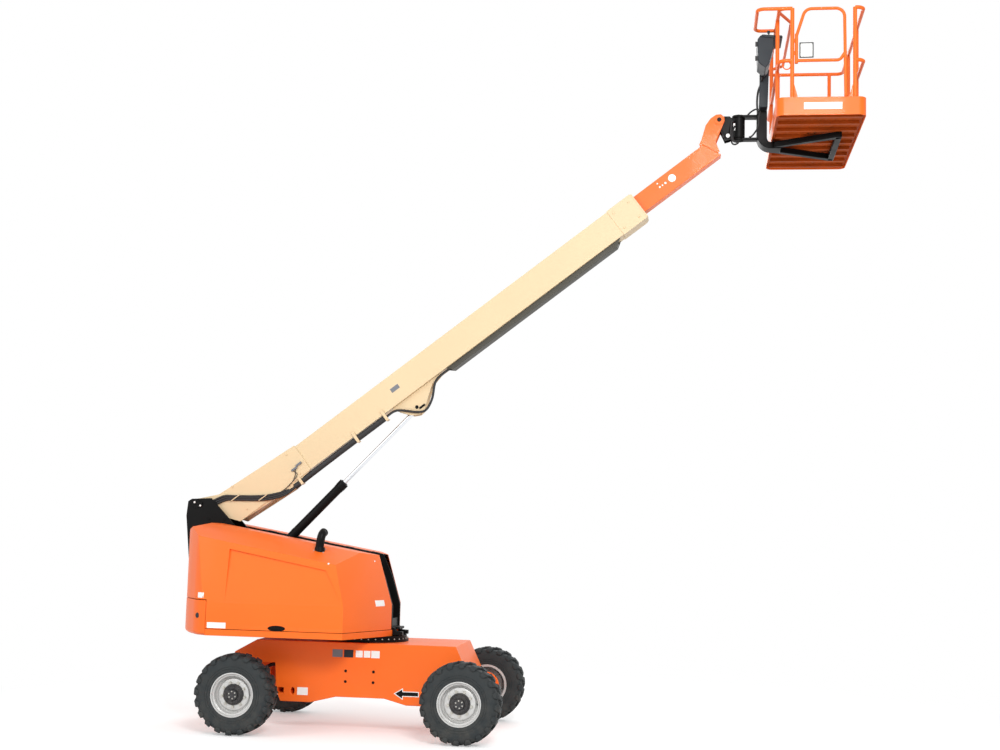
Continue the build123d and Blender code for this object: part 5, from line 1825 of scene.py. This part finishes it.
def make_floor():
    bm = bmesh.new()
    bmesh.ops.create_circle(bm, cap_ends=True, segments=96, radius=60)
    mesh = bpy.data.meshes.new("floor")
    bm.to_mesh(mesh)
    bm.free()
    floor = bpy.data.objects.new("floor", mesh)
    bpy.context.scene.collection.objects.link(floor)
    material = bpy.data.materials.new("floor_white")
    material.use_nodes = True
    tree = material.node_tree
    shader = tree.nodes["Principled BSDF"]
    out = tree.nodes["Material Output"]
    shader.inputs["Base Color"].default_value = (0.8, 0.8, 0.8, 1)
    shader.inputs["Roughness"].default_value = 0.9
    light = add(tree, "ShaderNodeLightPath")
    seen = add(tree, "ShaderNodeMath", {0: light.outputs["Is Camera Ray"], 1: light.outputs["Is Glossy Ray"]},
               operation="ADD", use_clamp=True)
    strength = add(tree, "ShaderNodeMath", {0: seen.outputs[0], 1: 0.32}, operation="MULTIPLY")
    glow = add(tree, "ShaderNodeEmission", {"Color": (1, 1, 1, 1), "Strength": strength.outputs[0]})
    both = add(tree, "ShaderNodeAddShader", {0: shader.outputs[0], 1: glow.outputs[0]})
    coords = add(tree, "ShaderNodeTexCoord").outputs["Object"]
    reach = add(tree, "ShaderNodeVectorMath", {0: coords}, operation="LENGTH")
    far = add(tree, "ShaderNodeMapRange", {"Value": reach.outputs["Value"], "From Min": FLOOR_FADE[0],
                                           "From Max": FLOOR_FADE[1]}, interpolation_type="SMOOTHSTEP")
    share = add(tree, "ShaderNodeMath", {0: far.outputs["Result"], 1: seen.outputs[0]}, operation="MULTIPLY")
    white = add(tree, "ShaderNodeEmission", {"Color": (1, 1, 1, 1), "Strength": 1.0})
    faded = add(tree, "ShaderNodeMixShader", {0: share.outputs[0], 1: both.outputs[0], 2: white.outputs[0]})
    tree.links.new(faded.outputs[0], out.inputs["Surface"])
    mesh.materials.append(material)


def make_world():
    world = bpy.data.worlds.new("studio")
    bpy.context.scene.world = world
    world.use_nodes = True
    tree = world.node_tree
    background = tree.nodes["Background"]
    light = add(tree, "ShaderNodeLightPath")
    seen = add(tree, "ShaderNodeMath", {0: light.outputs["Is Camera Ray"], 1: light.outputs["Is Glossy Ray"]},
               operation="ADD", use_clamp=True)
    strength = add(tree, "ShaderNodeMapRange", {"Value": seen.outputs[0], "To Min": 0.62, "To Max": 1.0})
    background.inputs["Color"].default_value = (1, 1, 1, 1)
    tree.links.new(strength.outputs["Result"], background.inputs["Strength"])


# name, place, aim, size, power
LAMPS = [
    ("key", (3.5, -12.5, 8.5), (0.0, 0.0, 2.0), 3.2, 1150.0),
    ("fill", (-8.0, -8.0, 6.0), (0.5, 0.0, 3.0), 6.0, 300.0),
    ("back", (2.0, 10.0, 9.0), (0.0, 0.0, 3.0), 7.0, 500.0),
]


def make_lamps():
    for name, where, aim, size, power in LAMPS:
        data = bpy.data.lights.new(name, "AREA")
        data.size = size
        data.energy = power
        lamp = bpy.data.objects.new(name, data)
        lamp.location = where
        lamp.rotation_euler = (Vector(aim) - Vector(where)).to_track_quat("-Z", "Y").to_euler()
        bpy.context.scene.collection.objects.link(lamp)


class LIFT_OT_stage(bpy.types.Operator):
    """Sets the camera, floor, soft lamps and white surroundings"""
    bl_idname = "lift.stage"
    bl_label = "Studio"

    def execute(self, context):
        context.scene.view_settings.view_transform = "Standard"
        make_camera()
        make_floor()
        make_world()
        make_lamps()
        return {"FINISHED"}


STEPS = (
    LIFT_OT_paint_frame,
    LIFT_OT_rounded,
    LIFT_OT_wheels,
    LIFT_OT_chassis,
    LIFT_OT_forms,
    LIFT_OT_turntable,
    LIFT_OT_bays,
    LIFT_OT_boom,
    LIFT_OT_platform,
    LIFT_OT_stage,
)


class LIFT_PT_panel(bpy.types.Panel):
    """Lists the dressing steps with their sizes and colours"""
    bl_idname = "LIFT_PT_panel"
    bl_label = "Boom Lift"
    bl_space_type = "VIEW_3D"
    bl_region_type = "UI"
    bl_category = "Boom Lift"

    def draw(self, context):
        layout = self.layout
        for group in (context.scene.lift_sizes, context.scene.lift_colours):
            for name in group.__annotations__:
                layout.prop(group, name)
        for step in STEPS:
            layout.operator(step.bl_idname)


CLASSES = (LiftSizes, LiftColours, *STEPS, LIFT_PT_panel)


def register():
    for item in CLASSES:
        bpy.utils.register_class(item)
    bpy.types.Scene.lift_sizes = PointerProperty(type=LiftSizes)
    bpy.types.Scene.lift_colours = PointerProperty(type=LiftColours)


def unregister():
    del bpy.types.Scene.lift_colours
    del bpy.types.Scene.lift_sizes
    for item in reversed(CLASSES):
        bpy.utils.unregister_class(item)


def main():
    """Runs each operator in turn."""
    register()
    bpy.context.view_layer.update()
    for step in STEPS:
        area, name = step.bl_idname.split(".")
        getattr(getattr(bpy.ops, area), name)()


if __name__ == "__main__":
    main()
